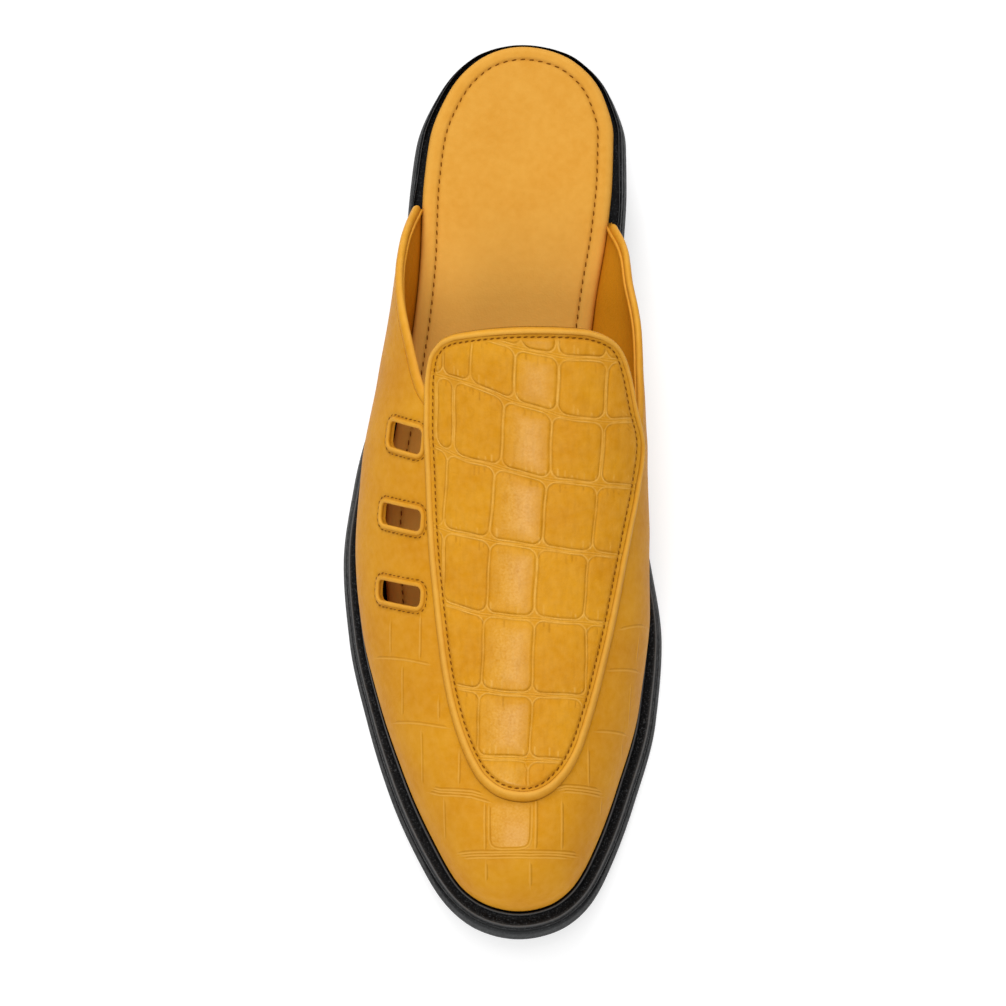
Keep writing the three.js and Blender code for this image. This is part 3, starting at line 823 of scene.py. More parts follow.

# %% [markdown]
# Thread and rubber
#
# Sewing thread is twisted from strands, which fine noise in a bump suggests at this size. The sole is
# black rubber with a fine matt tooth, and the welt is the same rubber with a coarser pebble; small grey
# specks painted into both colours stand for the glints of the pebble. Where the mesh says ridge, the
# rubber turns grey, with a painted highlight along the welt's edges and a painted sheen at the toe.

# %% Thread and rubber materials
THREAD_BROWN = srgb(122, 71, 8)
THREAD_LOOK = {"Roughness": 0.7, "Specular_IOR_Level": 0.05}
TWIST = {"scale": 3000, "detail": 1, "low": 0, "high": 1}
TWIST_DEPTH = 0.05
DUST = {"scale": 160, "detail": 5, "low": 0, "high": 1}
# Painted glints: small grey specks in the colour where the pebble would catch the light
GLINT_SPECKLE = {"scale": 2200, "detail": 1, "low": -1.6, "high": 0.8}
PEBBLE = {"detail": 2, "low": 0, "high": 1}
RUBBER_MATT = {"scale": 700, "detail": 2, "spread": 0.08}
RUBBER_SPECULAR = 0.07
GLINT_GREY = srgb(58, 60, 62)
# Grey of the painted highlight on the rubber's edges, also used for the painted sheen at the toe
HIGHLIGHT_GREY = srgb(116, 117, 118)
HIGHLIGHT_SHARE = 0.7

# Rubbers: two blacks, roughness, pebbles per metre and their depth in millimetres
RUBBERS = {
    "sole_rubber": (srgb(9, 9, 10), srgb(18, 18, 19), 0.5, 1200, 0.03),
    "welt_rubber": (srgb(6, 6, 7), srgb(13, 13, 14), 0.45, 900, 0.14),
}


def thread(name, colour):
    material, tree, shader = new_material(name, Base_Color=colour, **THREAD_LOOK)
    link_finish(tree, shader, {"Normal": bump(tree, noise(tree, **TWIST), TWIST_DEPTH)})
    return material


def rubber(name, dark, light, roughness, pebbles, pebble_depth):
    material, tree, shader = new_material(name, Specular_IOR_Level=RUBBER_SPECULAR)
    tone = mix_colour(tree, noise(tree, **DUST), dark, light)
    tone = mix_colour(tree, noise(tree, **GLINT_SPECKLE), tone, GLINT_GREY)
    # Where the mesh says ridge, the colour turns grey with a painted highlight
    finish = {
        "Base Color": mix_colour(tree, painted(tree, "ridge", HIGHLIGHT_SHARE), tone, HIGHLIGHT_GREY),
        "Roughness": matt(tree, roughness, **RUBBER_MATT),
        "Normal": bump(tree, noise(tree, pebbles, **PEBBLE), pebble_depth),
    }
    link_finish(tree, shader, finish)
    return material


BROWN_THREAD = thread("brown_thread", THREAD_BROWN)
RUBBER = {name: rubber(name, *look) for name, look in RUBBERS.items()}
print("materials:", len(bpy.data.materials))

# %% [markdown]
# Scales of the apron
#
# The apron is calf embossed with a crocodile pattern: rounded plates in rows, a narrow double groove
# between two columns and a wider wrinkled band between two rows. Rows and columns are charted here on
# the plan of the shoe: a row says how far along the shoe it lies at some places across, and a column
# where it leaves one row and meets the next. A picture of the pattern could be wrapped over the shoe,
# but it would stretch at the sides.

# %% Chart of the scales
ROWS = [table("x s", points) for points in (
    [
        [-30, 101], [-10, 109.5], [0, 113], [5.5, 114.2],
        [13, 115.2], [21.5, 115.1], [29, 113.5], [36, 111.5],
    ],
    [
        [-30, 114.5], [-21, 118.2], [-13.5, 121.4], [-3, 126.3],
        [8, 129.7], [17, 131.3], [23, 131], [36, 127.5],
    ],
    [
        [-31, 132], [-20, 138.5], [-13.3, 141.7], [-6, 143.8],
        [7, 147.3], [21, 148.1], [31.5, 146.7], [36, 145.5],
    ],
    [[-31, 155.5], [-25, 157.9], [-9, 163], [5, 165.5], [19, 166.6], [29, 166.2], [34, 165.5]],
    [[-30, 176], [-23, 178.7], [-9.4, 183.4], [3.5, 184.8], [17.5, 185.5], [27, 185]],
    [[-25, 200.5], [-17.6, 202.7], [-11.3, 204.2], [2.7, 205.6], [19, 205.9], [23, 205.8]],
    [[-20, 222], [-11.8, 222.7], [2.3, 223.4], [12.6, 223.8], [18, 224]],
)]

# Columns between two rows: x at the row behind and at the row ahead
COLUMNS = [
    [(-0.4, -0.2), (9.6, 9.6), (23.2, 23)],
    [(-21.5, -21.8), (-13.5, -14.3), (-1.8, -2), (10.4, 9.9), (23.5, 22.8)],
    [(-23.5, -23.7), (-18.6, -18.8), (-4.6, -5.6), (8.5, 8.1), (22.8, 21.8)],
    [(-20.2, -21.6), (-7, -8.7), (7.2, 5.9), (21.2, 19.7)],
    [(-21.3, -21.8), (-8.4, -9.4), (4.8, 3.8), (18.8, 17.5)],
    [(-10, -10.7), (4, 3.3), (18.4, 18.2)],
    [(-11.3, -11.8), (3.6, 2.8), (17.7, 16.6)],
    [(2.6, 2.3)],
]

# The polished column of plates runs down here
SHINE = table("s x", [[108, 4.5], [121, 4], [139, 1.6], [156, -0.7], [175, -2.3], [195, -3.4], [233, -4.4]])
print("scales:", len(ROWS), "rows and", sum(len(columns) for columns in COLUMNS), "column borders")

# %% [markdown]
# From the chart each point of the apron learns in which plate it lies and how far it is from the
# plate's four edges. Steep places count for more than they do in plan, so that a groove is as wide on
# the flank as on top. The borders wobble a little, because no natural plate has a straight one.

# %% Distances to the edges of a plate
END_ROW = 22
ROW_BAND = 0.95
COLUMN_BAND = (0.35, 0.4)
WOBBLE = 0.08
ROW_WAVE = 0.55
ROW_PHASE = 2
COLUMN_WAVE = 0.5
COLUMN_PHASE = 3
STEEPEST = 0.3
FAR = 20
CHANCE_STEP = 12.9898
CHANCE_SALT = 78.233
CHANCE_SPREAD = 43758.5453


def chance(index, salt):
    """A repeatable value from 0 to 1 for a whole number."""
    return np.modf(np.abs(np.sin(index * CHANCE_STEP + salt * CHANCE_SALT)) * CHANCE_SPREAD)[0]


def plate_places(x, s, normals):
    """For each point: row, distances to the edges of its plate, whether it is polished, run across."""
    steep = np.clip(np.abs(normals[:, 2]), STEEPEST, 1)
    stretch_x = np.hypot(1, normals[:, 0] / steep)
    stretch_s = np.hypot(1, normals[:, 1] / steep)
    lines = [row("s", x) + WOBBLE * np.sin(ROW_WAVE * x + ROW_PHASE * k) for k, row in enumerate(ROWS)]
    lines = np.stack([lines[0] - END_ROW, *lines, lines[-1] + END_ROW])
    interval = np.clip((lines < s).sum(0) - 1, 0, len(COLUMNS) - 1)
    pick = np.arange(len(x))
    behind, ahead = lines[interval, pick], lines[interval + 1, pick]
    share = (s - behind) / (ahead - behind)
    edges = {"heel": (s - behind) * stretch_s - ROW_BAND, "toe": (ahead - s) * stretch_s - ROW_BAND}
    edges["outer"] = np.full_like(x, FAR)
    edges["inner"] = np.full_like(x, FAR)
    shiny = np.zeros_like(x)
    for k, columns in enumerate(COLUMNS):
        here = interval == k
        for j, (start, end) in enumerate(columns):
            wave = WOBBLE * np.sin(COLUMN_WAVE * s[here] + COLUMN_PHASE * j + k)
            border = between(start, end, share[here]) + wave
            band = COLUMN_BAND[0] + COLUMN_BAND[1] * chance(j, k)
            off = (x[here] - border) * stretch_x[here]
            edges["outer"][here] = np.minimum(edges["outer"][here], np.where(off > 0, off - band, FAR))
            edges["inner"][here] = np.minimum(edges["inner"][here], np.where(off > 0, FAR, -off - band))
        starts = np.array([between(start, end, share[here]) for start, end in columns])
        shiny[here] = (starts < x[here]).sum(0) == (starts < SHINE("x", s[here])).sum(0)
    return interval, edges, shiny, x * stretch_x


print("row bands are", 2 * ROW_BAND, "mm wide, column grooves from", 2 * COLUMN_BAND[0], "mm")

# %% [markdown]
# Nicks
#
# Short nicks run into each plate from its two ends, as the folds of a real hide do. To draw them one by
# one would take hundreds of rows, so each gets its place, length and depth by a chance that gives the
# same answer in every run.

# %% Nicks at the ends of the plates
NICK_PITCH = 1.9
NICK_DEPTH = 0.16
NICK_WIDTH = 0.24
NICK_PLACE = (0.25, 0.5)
NICK_REACH = (0.8, 2.6)
NICK_SKIPPED = 0.2
NICK_STARTS = 0.5
NICK_ENDS = 0.6
NICK_SALT = {"heel": 3, "toe": 7}
SALT_STEP = 10


def nick_depths(run, inward, salt):
    """Short nicks that run into a plate from its edge, each with its own place, length and depth."""
    index = np.floor(run / NICK_PITCH)
    centre = (index + NICK_PLACE[0] + NICK_PLACE[1] * chance(index, salt)) * NICK_PITCH
    reach = NICK_REACH[0] + NICK_REACH[1] * chance(index, salt + 1)
    depth = NICK_DEPTH * (chance(index, salt + 2) > NICK_SKIPPED) * chance(index, salt + 3)
    along = smoothstep(0, NICK_STARTS, inward) * smoothstep(0, -NICK_ENDS, inward - reach)
    return depth * bell(run - centre, NICK_WIDTH) * along


def all_nicks(interval, edges, run, end):
    """The nicks at one end of all plates, each row with chances of its own."""
    depths = np.zeros_like(run)
    for k in range(len(COLUMNS)):
        here = interval == k
        depths[here] = nick_depths(run[here], edges[end][here], SALT_STEP * k + NICK_SALT[end])
    return depths


print("a nick every", NICK_PITCH, "mm, up to", NICK_DEPTH, "mm deep")

# %% [markdown]
# Height of the scales
#
# A plate rises from its borders, softly at the heel end and sharply at the toe end, and is slightly
# domed. Nicks are sunk at its heel end, with painted shade in them, and raised at its toe end, with a
# painted highlight on them. Plates and nicks are real geometry, so they stay in the outline and in every
# light, where a bump alone would fade; only the finest lines along a border are left to the nodes of
# the leather.

# %% Relief of the scales
PLATE_CORNER = 2.3
PLATE_RISE = 0.15
PLATE_SOFT = 0.1
PLATE_DOME = 0.1
DOME_REACH = 6
GROOVE_DEPTH = 0.06
GROOVE_WIDTH = 0.4
BAND_FADE = 0.5
BAND_SWING = 0.2
BAND_WAVE = 2.3
# Polish gives real gloss under a clear coat, and its mask also lays a painted sparkle into the colour
POLISH_EDGE = (0.2, 0.8)
POLISH_REACH = (0.5, 5)
POLISH_RIM = 0.3
POLISH_GROWS = (120, 155)
POLISH_BACK = 0.55
SUNK_NICK_SHADE = 0.7
RAISED_NICK_HIGHLIGHT = 2.6
RAISED_SHARE = 0.6

# How sharply a plate ends at each of its four edges, and how far its top slopes there
PLATE_EDGES = {
    "heel": {"crisp": 0.3, "slope": 2.4},
    "toe": {"crisp": 1, "slope": 0.6},
    "outer": {"crisp": 0.65, "slope": 0.7},
    "inner": {"crisp": 0.8, "slope": 0.7},
}


def scale_relief(points, normals):
    """Height of the scales at points of the apron, and what their leather shows there."""
    x, s = points[:, 0], points[:, 1]
    interval, edges, shiny, run = plate_places(x, s, normals)
    row_in = np.minimum(edges["heel"], edges["toe"])
    column_in = np.minimum(edges["outer"], edges["inner"])
    corner = np.hypot(np.clip(PLATE_CORNER - row_in, 0, None), np.clip(PLATE_CORNER - column_in, 0, None))
    inside = PLATE_CORNER - corner
    nearest = np.minimum(row_in, column_in)
    weight = {name: np.exp(nearest - distance) for name, distance in edges.items()}
    total = sum(weight.values())
    crisp = sum(weight[name] * edge["crisp"] for name, edge in PLATE_EDGES.items()) / total
    slope = sum(weight[name] * edge["slope"] for name, edge in PLATE_EDGES.items()) / total
    height = PLATE_RISE * (smoothstep(0, 1, (inside + PLATE_SOFT) / slope) - 1)
    dome = PLATE_DOME * smoothstep(0, DOME_REACH, nearest)
    height += dome - GROOVE_DEPTH * crisp * bell(inside, GROOVE_WIDTH)
    sunk = all_nicks(interval, edges, run, "heel")
    raised = all_nicks(interval, edges, run, "toe")
    off_row = np.where(edges["heel"] < edges["toe"], edges["heel"] + ROW_BAND, -edges["toe"] - ROW_BAND)
    gloss_and_painted_sparkle = shiny * smoothstep(*POLISH_EDGE, inside)
    gloss_and_painted_sparkle = gloss_and_painted_sparkle * between(POLISH_RIM, 1, smoothstep(*POLISH_REACH, nearest))
    values = {
        "edge": np.clip(inside, -FAR, PLATE_CORNER),
        "crisp": crisp,
        "lip": np.ones_like(x),
        "row": off_row + BAND_SWING * np.sin(x / BAND_WAVE),
        "band": 1 - smoothstep(-BAND_FADE, 0, row_in),
        "gloss_and_painted_sparkle": gloss_and_painted_sparkle * between(POLISH_BACK, 1, smoothstep(*POLISH_GROWS, s)),
        # Painted shade in the sunk nicks and a painted highlight on the raised ones
        "painted_shade": SUNK_NICK_SHADE * sunk / NICK_DEPTH,
        "ridge": RAISED_NICK_HIGHLIGHT * raised / NICK_DEPTH,
    }
    return height - sunk + RAISED_SHARE * raised, values


print("a plate stands", PLATE_RISE, "mm over its borders and is domed by", PLATE_DOME, "mm")

# %% [markdown]
# The apron
#
# The apron is one panel, set into the vamp like a lid. Rows of points run across it from seam to seam,
# each lifted onto the last. A sheet shrunk onto the last by a modifier would look alike, but its rows
# would slide, and the chart of the scales with them. Along the edge the sewing pulls the leather down
# into a shallow channel.

# %% The embossed apron
APRON_LIFT = 0.4
APRON_TOP = 1.7
APRON_INSET = 1.2
APRON_GRID = (450, 193)
APRON_BACK = 16
APRON_CROWDING = 0.25
APRON_STATIONS = 240
STITCH_INSET = 1.95
STITCH_CHANNEL = 0.45
STITCH_CHANNEL_WIDTH = 0.6
CHANNEL_STEP = 0.6
CHANNEL_SHADE = 0.5
SEAM_CLEAR = (0.2, 1.4)
CHUNK = 4000


def apron_loop(inset, step):
    """Points in plan round the apron, in from its seam: along its lateral side, back along its medial."""
    s = fine_ends(APRON_STATIONS, THROAT, APRON_END)
    lateral = np.stack(apron_edge("lateral", s, inset), -1)
    medial = np.stack(apron_edge("medial", s, inset), -1)[::-1]
    return resample(np.r_[lateral, medial[1:]], step, closed=True)


def apron_grid(rows, columns, inset):
    """Rows of points across the apron from seam to seam, on the last, with their normals."""
    s = fine_ends(rows, THROAT, APRON_END, APRON_CROWDING)
    left = np.stack(apron_edge("lateral", s, inset), -1)[:, None]
    right = np.stack(apron_edge("medial", s, inset), -1)[:, None]
    plan = between(left, right, np.linspace(0, 1, columns)[None, :, None])
    return lift(plan[..., 0], plan[..., 1]), lift_normal(plan[..., 0], plan[..., 1])


def distance_to(points, line):
    """Distance from each point to the nearest point of a dense line."""
    parts = np.array_split(points, max(len(points) // CHUNK, 1))
    return np.concatenate([np.linalg.norm(p[:, None] - line[None], axis=2).min(1) for p in parts])


def build_apron():
    points, normals = apron_grid(*APRON_GRID, APRON_INSET)
    flat = points.reshape(-1, 3)
    height, values = scale_relief(flat, normals.reshape(-1, 3))
    loop = apron_loop(STITCH_INSET, CHANNEL_STEP)
    to_seam = distance_to(flat, lift(loop[:, 0], loop[:, 1]))
    free = smoothstep(*SEAM_CLEAR, to_seam)
    channel = bell(to_seam, STITCH_CHANNEL_WIDTH)
    height = APRON_TOP + height * free - STITCH_CHANNEL * channel
    front = points + normals * height.reshape(*APRON_GRID, 1)
    back = (points + normals * APRON_LIFT)[:, ::APRON_BACK]
    for faded in ("crisp", "lip", "band", "gloss_and_painted_sparkle", "painted_shade", "ridge"):
        values[faded] = values[faded] * free
    # Painted shade in the stitch channel along the seam
    values["painted_shade"] = np.maximum(values["painted_shade"], CHANNEL_SHADE * channel)
    return shell("embossed_apron", front, back, values)


make_piece("embossed_apron", build_apron(), LEATHER["embossed_leather"], "upper_leather", "apron")

# %% [markdown]
# The tongue
#
# Under the apron lies the tongue with its lining. Only its underside shows, from inside the shoe, so a
# plain sheet on the same grid of rows is enough.

# %% The tongue under the apron
TONGUE_GRID = (90, 41)
TONGUE_TOP = 0.25


def build_tongue():
    points, normals = apron_grid(*TONGUE_GRID, 0)
    return shell("tongue_lining", points + normals * TONGUE_TOP, points - normals * UPPER_WALL, {})


make_piece("tongue_lining", build_tongue(), LEATHER["lining_leather"], "upper_leather")

# %% [markdown]
# Slots
#
# Three slots with rounded corners are let into the outer wall of the shoe. Each gets a frame of its
# own: a middle on the wall and the directions up, across and out. An empty object could hold such a
# frame, but four short vectors are easier to calculate with. The frame later places the punch, the
# turned rim and the stitches, so that they always agree.

# %% Frames of the slots
SLOT_CORNER = 1.7
ARC_POINTS = 7

# The slots run up the outer wall: rib and share of the rib at their two ends, and width
SLOTS = [
    {"low_s": 128.2, "low_v": 0.516, "high_s": 133.8, "high_v": 0.649, "width": 7.5},
    {"low_s": 150.3, "low_v": 0.503, "high_s": 156, "high_v": 0.657, "width": 6.2},
    {"low_s": 172.5, "low_v": 0.478, "high_s": 177.4, "high_v": 0.649, "width": 5.9},
]


def slot_frame(slot):
    """Middle, direction up the wall, direction across and direction out of the wall."""
    ends = [(slot["low_s"], slot["low_v"]), (slot["high_s"], slot["high_v"])]
    low, high = (rib_points(make_ribs("lateral", np.array([s])), np.array([[v]]))[0, 0] for s, v in ends)
    middle = (low + high) / 2
    out = lift_normal(middle[0], middle[1])
    up = unit(high - low)
    half_sizes = (slot["width"] / 2, np.linalg.norm(high - low) / 2)
    return {"middle": middle, "up": up, "out": out, "across": unit(np.cross(up, out)), "half": half_sizes}


def rounded_rectangle(half_width, half_height, corner):
    turns = np.linspace(0, math.pi / 2, ARC_POINTS)
    centres = [(1, 1), (-1, 1), (-1, -1), (1, -1)]
    arcs = []
    for quarter, (a, b) in enumerate(centres):
        turn = turns + quarter * math.pi / 2
        arc_x = a * (half_width - corner) + corner * np.cos(turn)
        arc_y = b * (half_height - corner) + corner * np.sin(turn)
        arcs.append(np.stack([arc_x, arc_y], -1))
    return np.concatenate(arcs)


def slot_path(spot, grow):
    """The slot's outline, grown by a distance, in the slot's own plane."""
    half_width, half_height = spot["half"]
    flat = rounded_rectangle(half_width + grow, half_height + grow, SLOT_CORNER + grow)
    return spot["middle"] + flat[:, :1] * spot["across"] + flat[:, 1:] * spot["up"]


def from_slot(points, spot):
    """Signed distance of points from a slot's edge, in the slot's plane."""
    offset = points - spot["middle"]
    a = np.abs(offset @ spot["across"]) - spot["half"][0] + SLOT_CORNER
    b = np.abs(offset @ spot["up"]) - spot["half"][1] + SLOT_CORNER
    past = np.hypot(np.clip(a, 0, None), np.clip(b, 0, None))
    return past + np.minimum(np.maximum(a, b), 0) - SLOT_CORNER


SPOTS = [slot_frame(slot) for slot in SLOTS]
print("slots:", [[round(float(2 * h), 1) for h in spot["half"]] for spot in SPOTS], "mm")

# %% [markdown]
# Vamp and quarters
#
# The vamp wraps the toe and runs back on both sides into the quarters, one hide of the same embossed
# calf. The wall follows the ribs up to the topline or to the apron's seam, whichever comes first, so
# that the notch between the two forms by itself. Ribs stand close together at the back, where the
# quarter ends in a point, and round the toe.

# %% Ribs of the two sides
QUARTER_RIBS = 50
QUARTER_CROWDING = 1.7
SIDE_STEPS = 80
TOE_RIBS = 280
TOE_CROWDING = 1.5
THROAT_SLACK = 1


def first_share(ribs, test):
    """The share of each rib where a test on its point turns true."""
    low = np.zeros(len(ribs["s"]))
    high = np.ones(len(ribs["s"]))
    for _ in range(BISECTIONS):
        middle = (low + high) / 2
        found = test(rib_points(ribs, middle[:, None])[:, 0])
        high = np.where(found, middle, high)
        low = np.where(found, low, middle)
    return high


def side_ribs(side):
    """The ribs of one side, with the shares where they meet the apron's seam and the topline."""
    end = QUARTER_END[side]
    quarter = end + (THROAT - end) * np.linspace(0, 1, QUARTER_RIBS)[:-1] ** QUARTER_CROWDING
    flank = np.linspace(THROAT, FAN_START, SIDE_STEPS)[:-1]
    toe = SOLE_LENGTH - (SOLE_LENGTH - FAN_START) * np.linspace(1, 0, TOE_RIBS) ** TOE_CROWDING
    s = np.r_[quarter, flank, toe]
    ribs = make_ribs(side, s)

    def under_apron(points):
        along = (points[:, 1] >= THROAT - THROAT_SLACK) & (points[:, 1] <= APRON_END)
        half = np.sqrt(np.maximum(APRON(side, points[:, 1]), 0))
        return along & (np.abs(points[:, 0] - CREST("x", points[:, 1])) < half)

    seam = np.where(s < THROAT, 1, first_share(ribs, under_apron))
    topline = first_share(ribs, lambda points: points[:, 2] > TOPLINE[side]("z", s))
    return ribs, seam, topline


SIDE_RIBS = {side: side_ribs(side) for side in SIGN}
print("ribs on each side:", [len(ribs["s"]) for ribs, _, _ in SIDE_RIBS.values()])

# %% [markdown]
# Outer leather and lining are one shell here, because both follow the same last. Round the slots the
# sewing pulls the leather in, and shade is painted into that dip; one plate on top of the toe is
# polished and gets a painted sparkle, so the wall carries these two as values. Two sheets with air
# between them would be truer, but nobody can look between them.

# %% The wall of the upper and its lining as one shell
WALL_COLUMNS = 97
WALL_BACK = 8
SLOT_SEAM = 1.95
SLOT_SEAM_DEPTH = 0.2
SLOT_SEAM_WIDTH = 0.45
SLOT_SEAM_SHADE = 0.7
# One polished plate on the toe: a clear coat and a painted sparkle
TOE_PLATE = {"middle": (-2.8, 242.3), "half": (6.9, 7.2), "fades": (2.5, 2), "gloss_and_painted_sparkle": 0.8}


def toe_polish_and_sparkle(points):
    polish_and_painted_sparkle = np.ones(len(points))
    for k in (0, 1):
        off = np.abs(points[:, k] - TOE_PLATE["middle"][k]) - TOE_PLATE["half"][k]
        polish_and_painted_sparkle *= smoothstep(0, -TOE_PLATE["fades"][k], off)
    return TOE_PLATE["gloss_and_painted_sparkle"] * polish_and_painted_sparkle


def build_upper():
    bands = []
    for side, order in (("lateral", slice(None)), ("medial", slice(-2, None, -1))):
        ribs, seam, topline = SIDE_RIBS[side]
        top = np.minimum(seam, topline)
        top[0] = 0
        bands.append(rib_points(ribs, top[:, None] * np.linspace(0, 1, WALL_COLUMNS))[order])
    wall = np.concatenate(bands)
    normals = grid_normals(wall)
    normals[0] = normals[1]
    normals[-1] = normals[-2]
    points = wall.reshape(-1, 3)
    sunk = np.zeros(len(points))
    for spot in SPOTS:
        sunk += bell(from_slot(points, spot) - SLOT_SEAM, SLOT_SEAM_WIDTH) * (points[:, 0] < 0)
    # Painted shade in the dip that the seam round each slot pulls in
    values = {"painted_shade": SLOT_SEAM_SHADE * sunk, "gloss_and_painted_sparkle": toe_polish_and_sparkle(points)}
    front = wall - normals * (SLOT_SEAM_DEPTH * sunk).reshape(*wall.shape[:2], 1)
    back = (wall - normals * UPPER_WALL)[:, ::WALL_BACK]
    return shell("vamp_and_quarters", front, back, values)


upper_blank = build_upper()
print("the upper is", len(upper_blank.vertices), "vertices before it is punched")

# %% [markdown]
# Cutting the slots
#
# A boolean cuts the slots, as a punch cuts leather: a punch is a bar with rounded corners that stands
# square to the wall and goes through leather and lining at once. Leaving gaps in the grid of the wall
# would avoid the boolean, but the corners would come out jagged.

# %% The upper with its slots
PUNCH_REACH = 9
PUNCH_GROWTH = 0.4


def punches(spots):
    """One mesh of all the bars that cut the slots."""
    points = []
    faces = []
    for spot in spots:
        path = slot_path(spot, PUNCH_GROWTH)
        faces += moved_faces(capped_rings(2, len(path)), len(points))
        points += [*(path - spot["out"] * PUNCH_REACH), *(path + spot["out"] * PUNCH_REACH)]
    return make_mesh("punches", np.array(points), faces)


def cut(mesh, tool_mesh):
    """The mesh with a tool driven through it."""
    blank = bpy.data.objects.new("blank", mesh)
    tool = bpy.data.objects.new("tool", tool_mesh)
    for used in (blank, tool):
        bpy.context.scene.collection.objects.link(used)
    modifier = blank.modifiers.new("slots", "BOOLEAN")
    modifier.operation = "DIFFERENCE"
    modifier.object = tool
    modifier.solver = "EXACT"
    evaluated = blank.evaluated_get(bpy.context.evaluated_depsgraph_get())
    result = bpy.data.meshes.new_from_object(evaluated)
    for used in (blank, tool):
        bpy.data.objects.remove(used)
    return result


upper_mesh = cut(upper_blank, punches(SPOTS))
make_piece("vamp_and_quarters", upper_mesh, LEATHER["embossed_leather"], "upper_leather", "upper")

# %% [markdown]
# Rims of the slots
#
# Some edges of the shoe are rolls of leather that follow a line: the turned rims of the slots, the
# rolled seam round the apron and the toplines. A curve object with a bevel could make them, but a
# section swept in code can lean on the surface below it and change its width on the way. The rims come
# first.

# %% Sweep helper and the slot rims
DROP_STEPS = 5
RIM_STEP = 0.5
RIM_SECTION = np.array([
    (0.25, -0.8), (0, -0.3), (0, 0.12), (0.12, 0.36), (0.42, 0.5),
    (0.9, 0.5), (1.25, 0.36), (1.45, 0.02), (1.45, -0.5),
])
# Painted shade at the feet of the rim and a painted highlight along its top, for each point of the section
RIM_HIGHLIGHT_AND_SHADE = {"painted_shade": [1, 0.6, 0.2, 0, 0, 0, 0.2, 0.7, 1], "ridge": [0, 0, 0.4, 1, 1, 0.5, 0, 0, 0]}


def sweep(name, points, across, out, section, closed, tones):
    """A skin over a section carried along a path; the section's columns go across and out."""
    rings = points[:, None] + across[:, None] * section[..., :1] + out[:, None] * section[..., 1:]
    count = rings.shape[1]
    faces = ring_faces(len(points), count, True) if closed else capped_rings(len(points), count)
    values = {key: np.tile(tone, len(points)) for key, tone in tones.items()}
    return make_mesh(name, rings.reshape(-1, 3), faces, values)


def tangents(points, closed):
    if closed:
        return unit(np.roll(points, -1, 0) - np.roll(points, 1, 0))
    return unit(np.gradient(points, axis=0))


def drop_on_wall(points, direction):
    """Moves points along a direction until they lie on the last."""
    for _ in range(DROP_STEPS):
        normal = lift_normal(points[:, 0], points[:, 1])
        gap = ((lift(points[:, 0], points[:, 1]) - points) * normal).sum(1) / (normal @ direction)
        points = points + gap[:, None] * direction
    return points, lift_normal(points[:, 0], points[:, 1])


for number, spot in enumerate(SPOTS, 1):
    edge = resample(slot_path(spot, 0), RIM_STEP, closed=True)
    path, out = drop_on_wall(edge, spot["out"])
    across = np.cross(tangents(path, True), out)
    outward = np.sign(((path - path.mean(0)) * across).sum())
    rim_mesh = sweep(f"slot_rim_{number}", path, across * outward, out, RIM_SECTION, True, RIM_HIGHLIGHT_AND_SHADE)
    make_piece(f"slot_rim_{number}", rim_mesh, LEATHER["smooth_leather"], "upper_leather")

# %% [markdown]
# Lines of the vamp
#
# The embossing goes on over the vamp, but faintly, and it dies out towards the slots. In the press the
# leather rises into the fine joints of the plate, so each line is a ridge a few hundredths of a
# millimetre high, with a painted highlight on its top and painted shade at its foot. A single ridge
# parts two scales of a row, and a bundle of them parts two rows. The lines are charted in plan, like
# those of the apron.

# %% Chart of the vamp's lines
TOE_PLATE_LINE = [
    (-8.7, 235), (-8.7, 245.6), (-8.2, 247.2), (-7.1, 248), (-5.5, 248.3),
    (0, 248.3), (1.7, 248), (2.8, 247.2), (3.3, 245.6), (3.5, 235),
]
VAMP_LINES = [
    ("bundle", [(-28, 229.2), (-22.7, 231.2), (-13.7, 232.7), (-7, 235)]),
    ("bundle", [(9, 232.4), (13.2, 231.2), (24, 230.9), (29, 229.5)]),
    ("bundle", [(-19.4, 249), (-8, 249.7), (3, 249.8), (20.2, 249)]),
    ("single", [(-43, 190.2), (-41.3, 190.8), (-24.9, 196.2)]),
    ("single", [(-38.5, 209), (-36.8, 209.5), (-19.6, 214.2)]),
    ("single", [(24, 198), (28.6, 197), (38, 194.6)]),
    ("single", [(20.6, 214.9), (34, 213)]),
    ("single", [(-21.8, 232.2), (-21.2, 247.1)]),
    ("single", [(-10, 234.5), (-9.9, 249.5)]),
    ("single", TOE_PLATE_LINE),
    ("single", [(4.8, 233.7), (4.6, 249.5)]),
    ("single", [(12.1, 233.8), (12.2, 249.1)]),
    ("single", [(23.7, 231.5), (22.8, 245.7)]),
    ("single", [(-9.6, 250.5), (-9.3, 260.7)]),
    ("single", [(3, 250.8), (3.4, 262.3)]),
    ("single", [(-34, 193.8), (-34, 209.5)]),
    ("single", [(-23.4, 204.5), (-23.4, 212.4)]),
    ("single", [(-28.4, 212.5), (-28, 229.2)]),
    ("single", [(-17.3, 219.7), (-17.5, 231)]),
    ("single", [(19.5, 218.7), (19.9, 230.5)]),
    ("single", [(29.5, 215), (29.5, 229)]),
    ("single", [(-37.6, 180.5), (-37.6, 192)]),
    ("single", [(-28.7, 181), (-29, 195)]),
    ("single", [(27.5, 186.5), (37, 182.2)]),
    ("single", [(34.5, 185), (33.4, 194.3)]),
    ("single", [(32, 199), (31.4, 212)]),
]
print("vamp:", len(VAMP_LINES), "scale lines")

# %% [markdown]
# Each line is a small section swept over the last. A bump in the material could draw it, but swept
# ridges keep one width all over the curved toe, can wander a little, and thin out at both ends as a
# shallow pressing does.

# %% Ridges of the vamp
LINE_SECTION = np.array([
    (-0.6, -0.1), (-0.42, 0.02), (-0.2, 0.08), (0.02, 0.08), (0.28, 0.03), (0.6, 0.015), (0.75, -0.1),
])
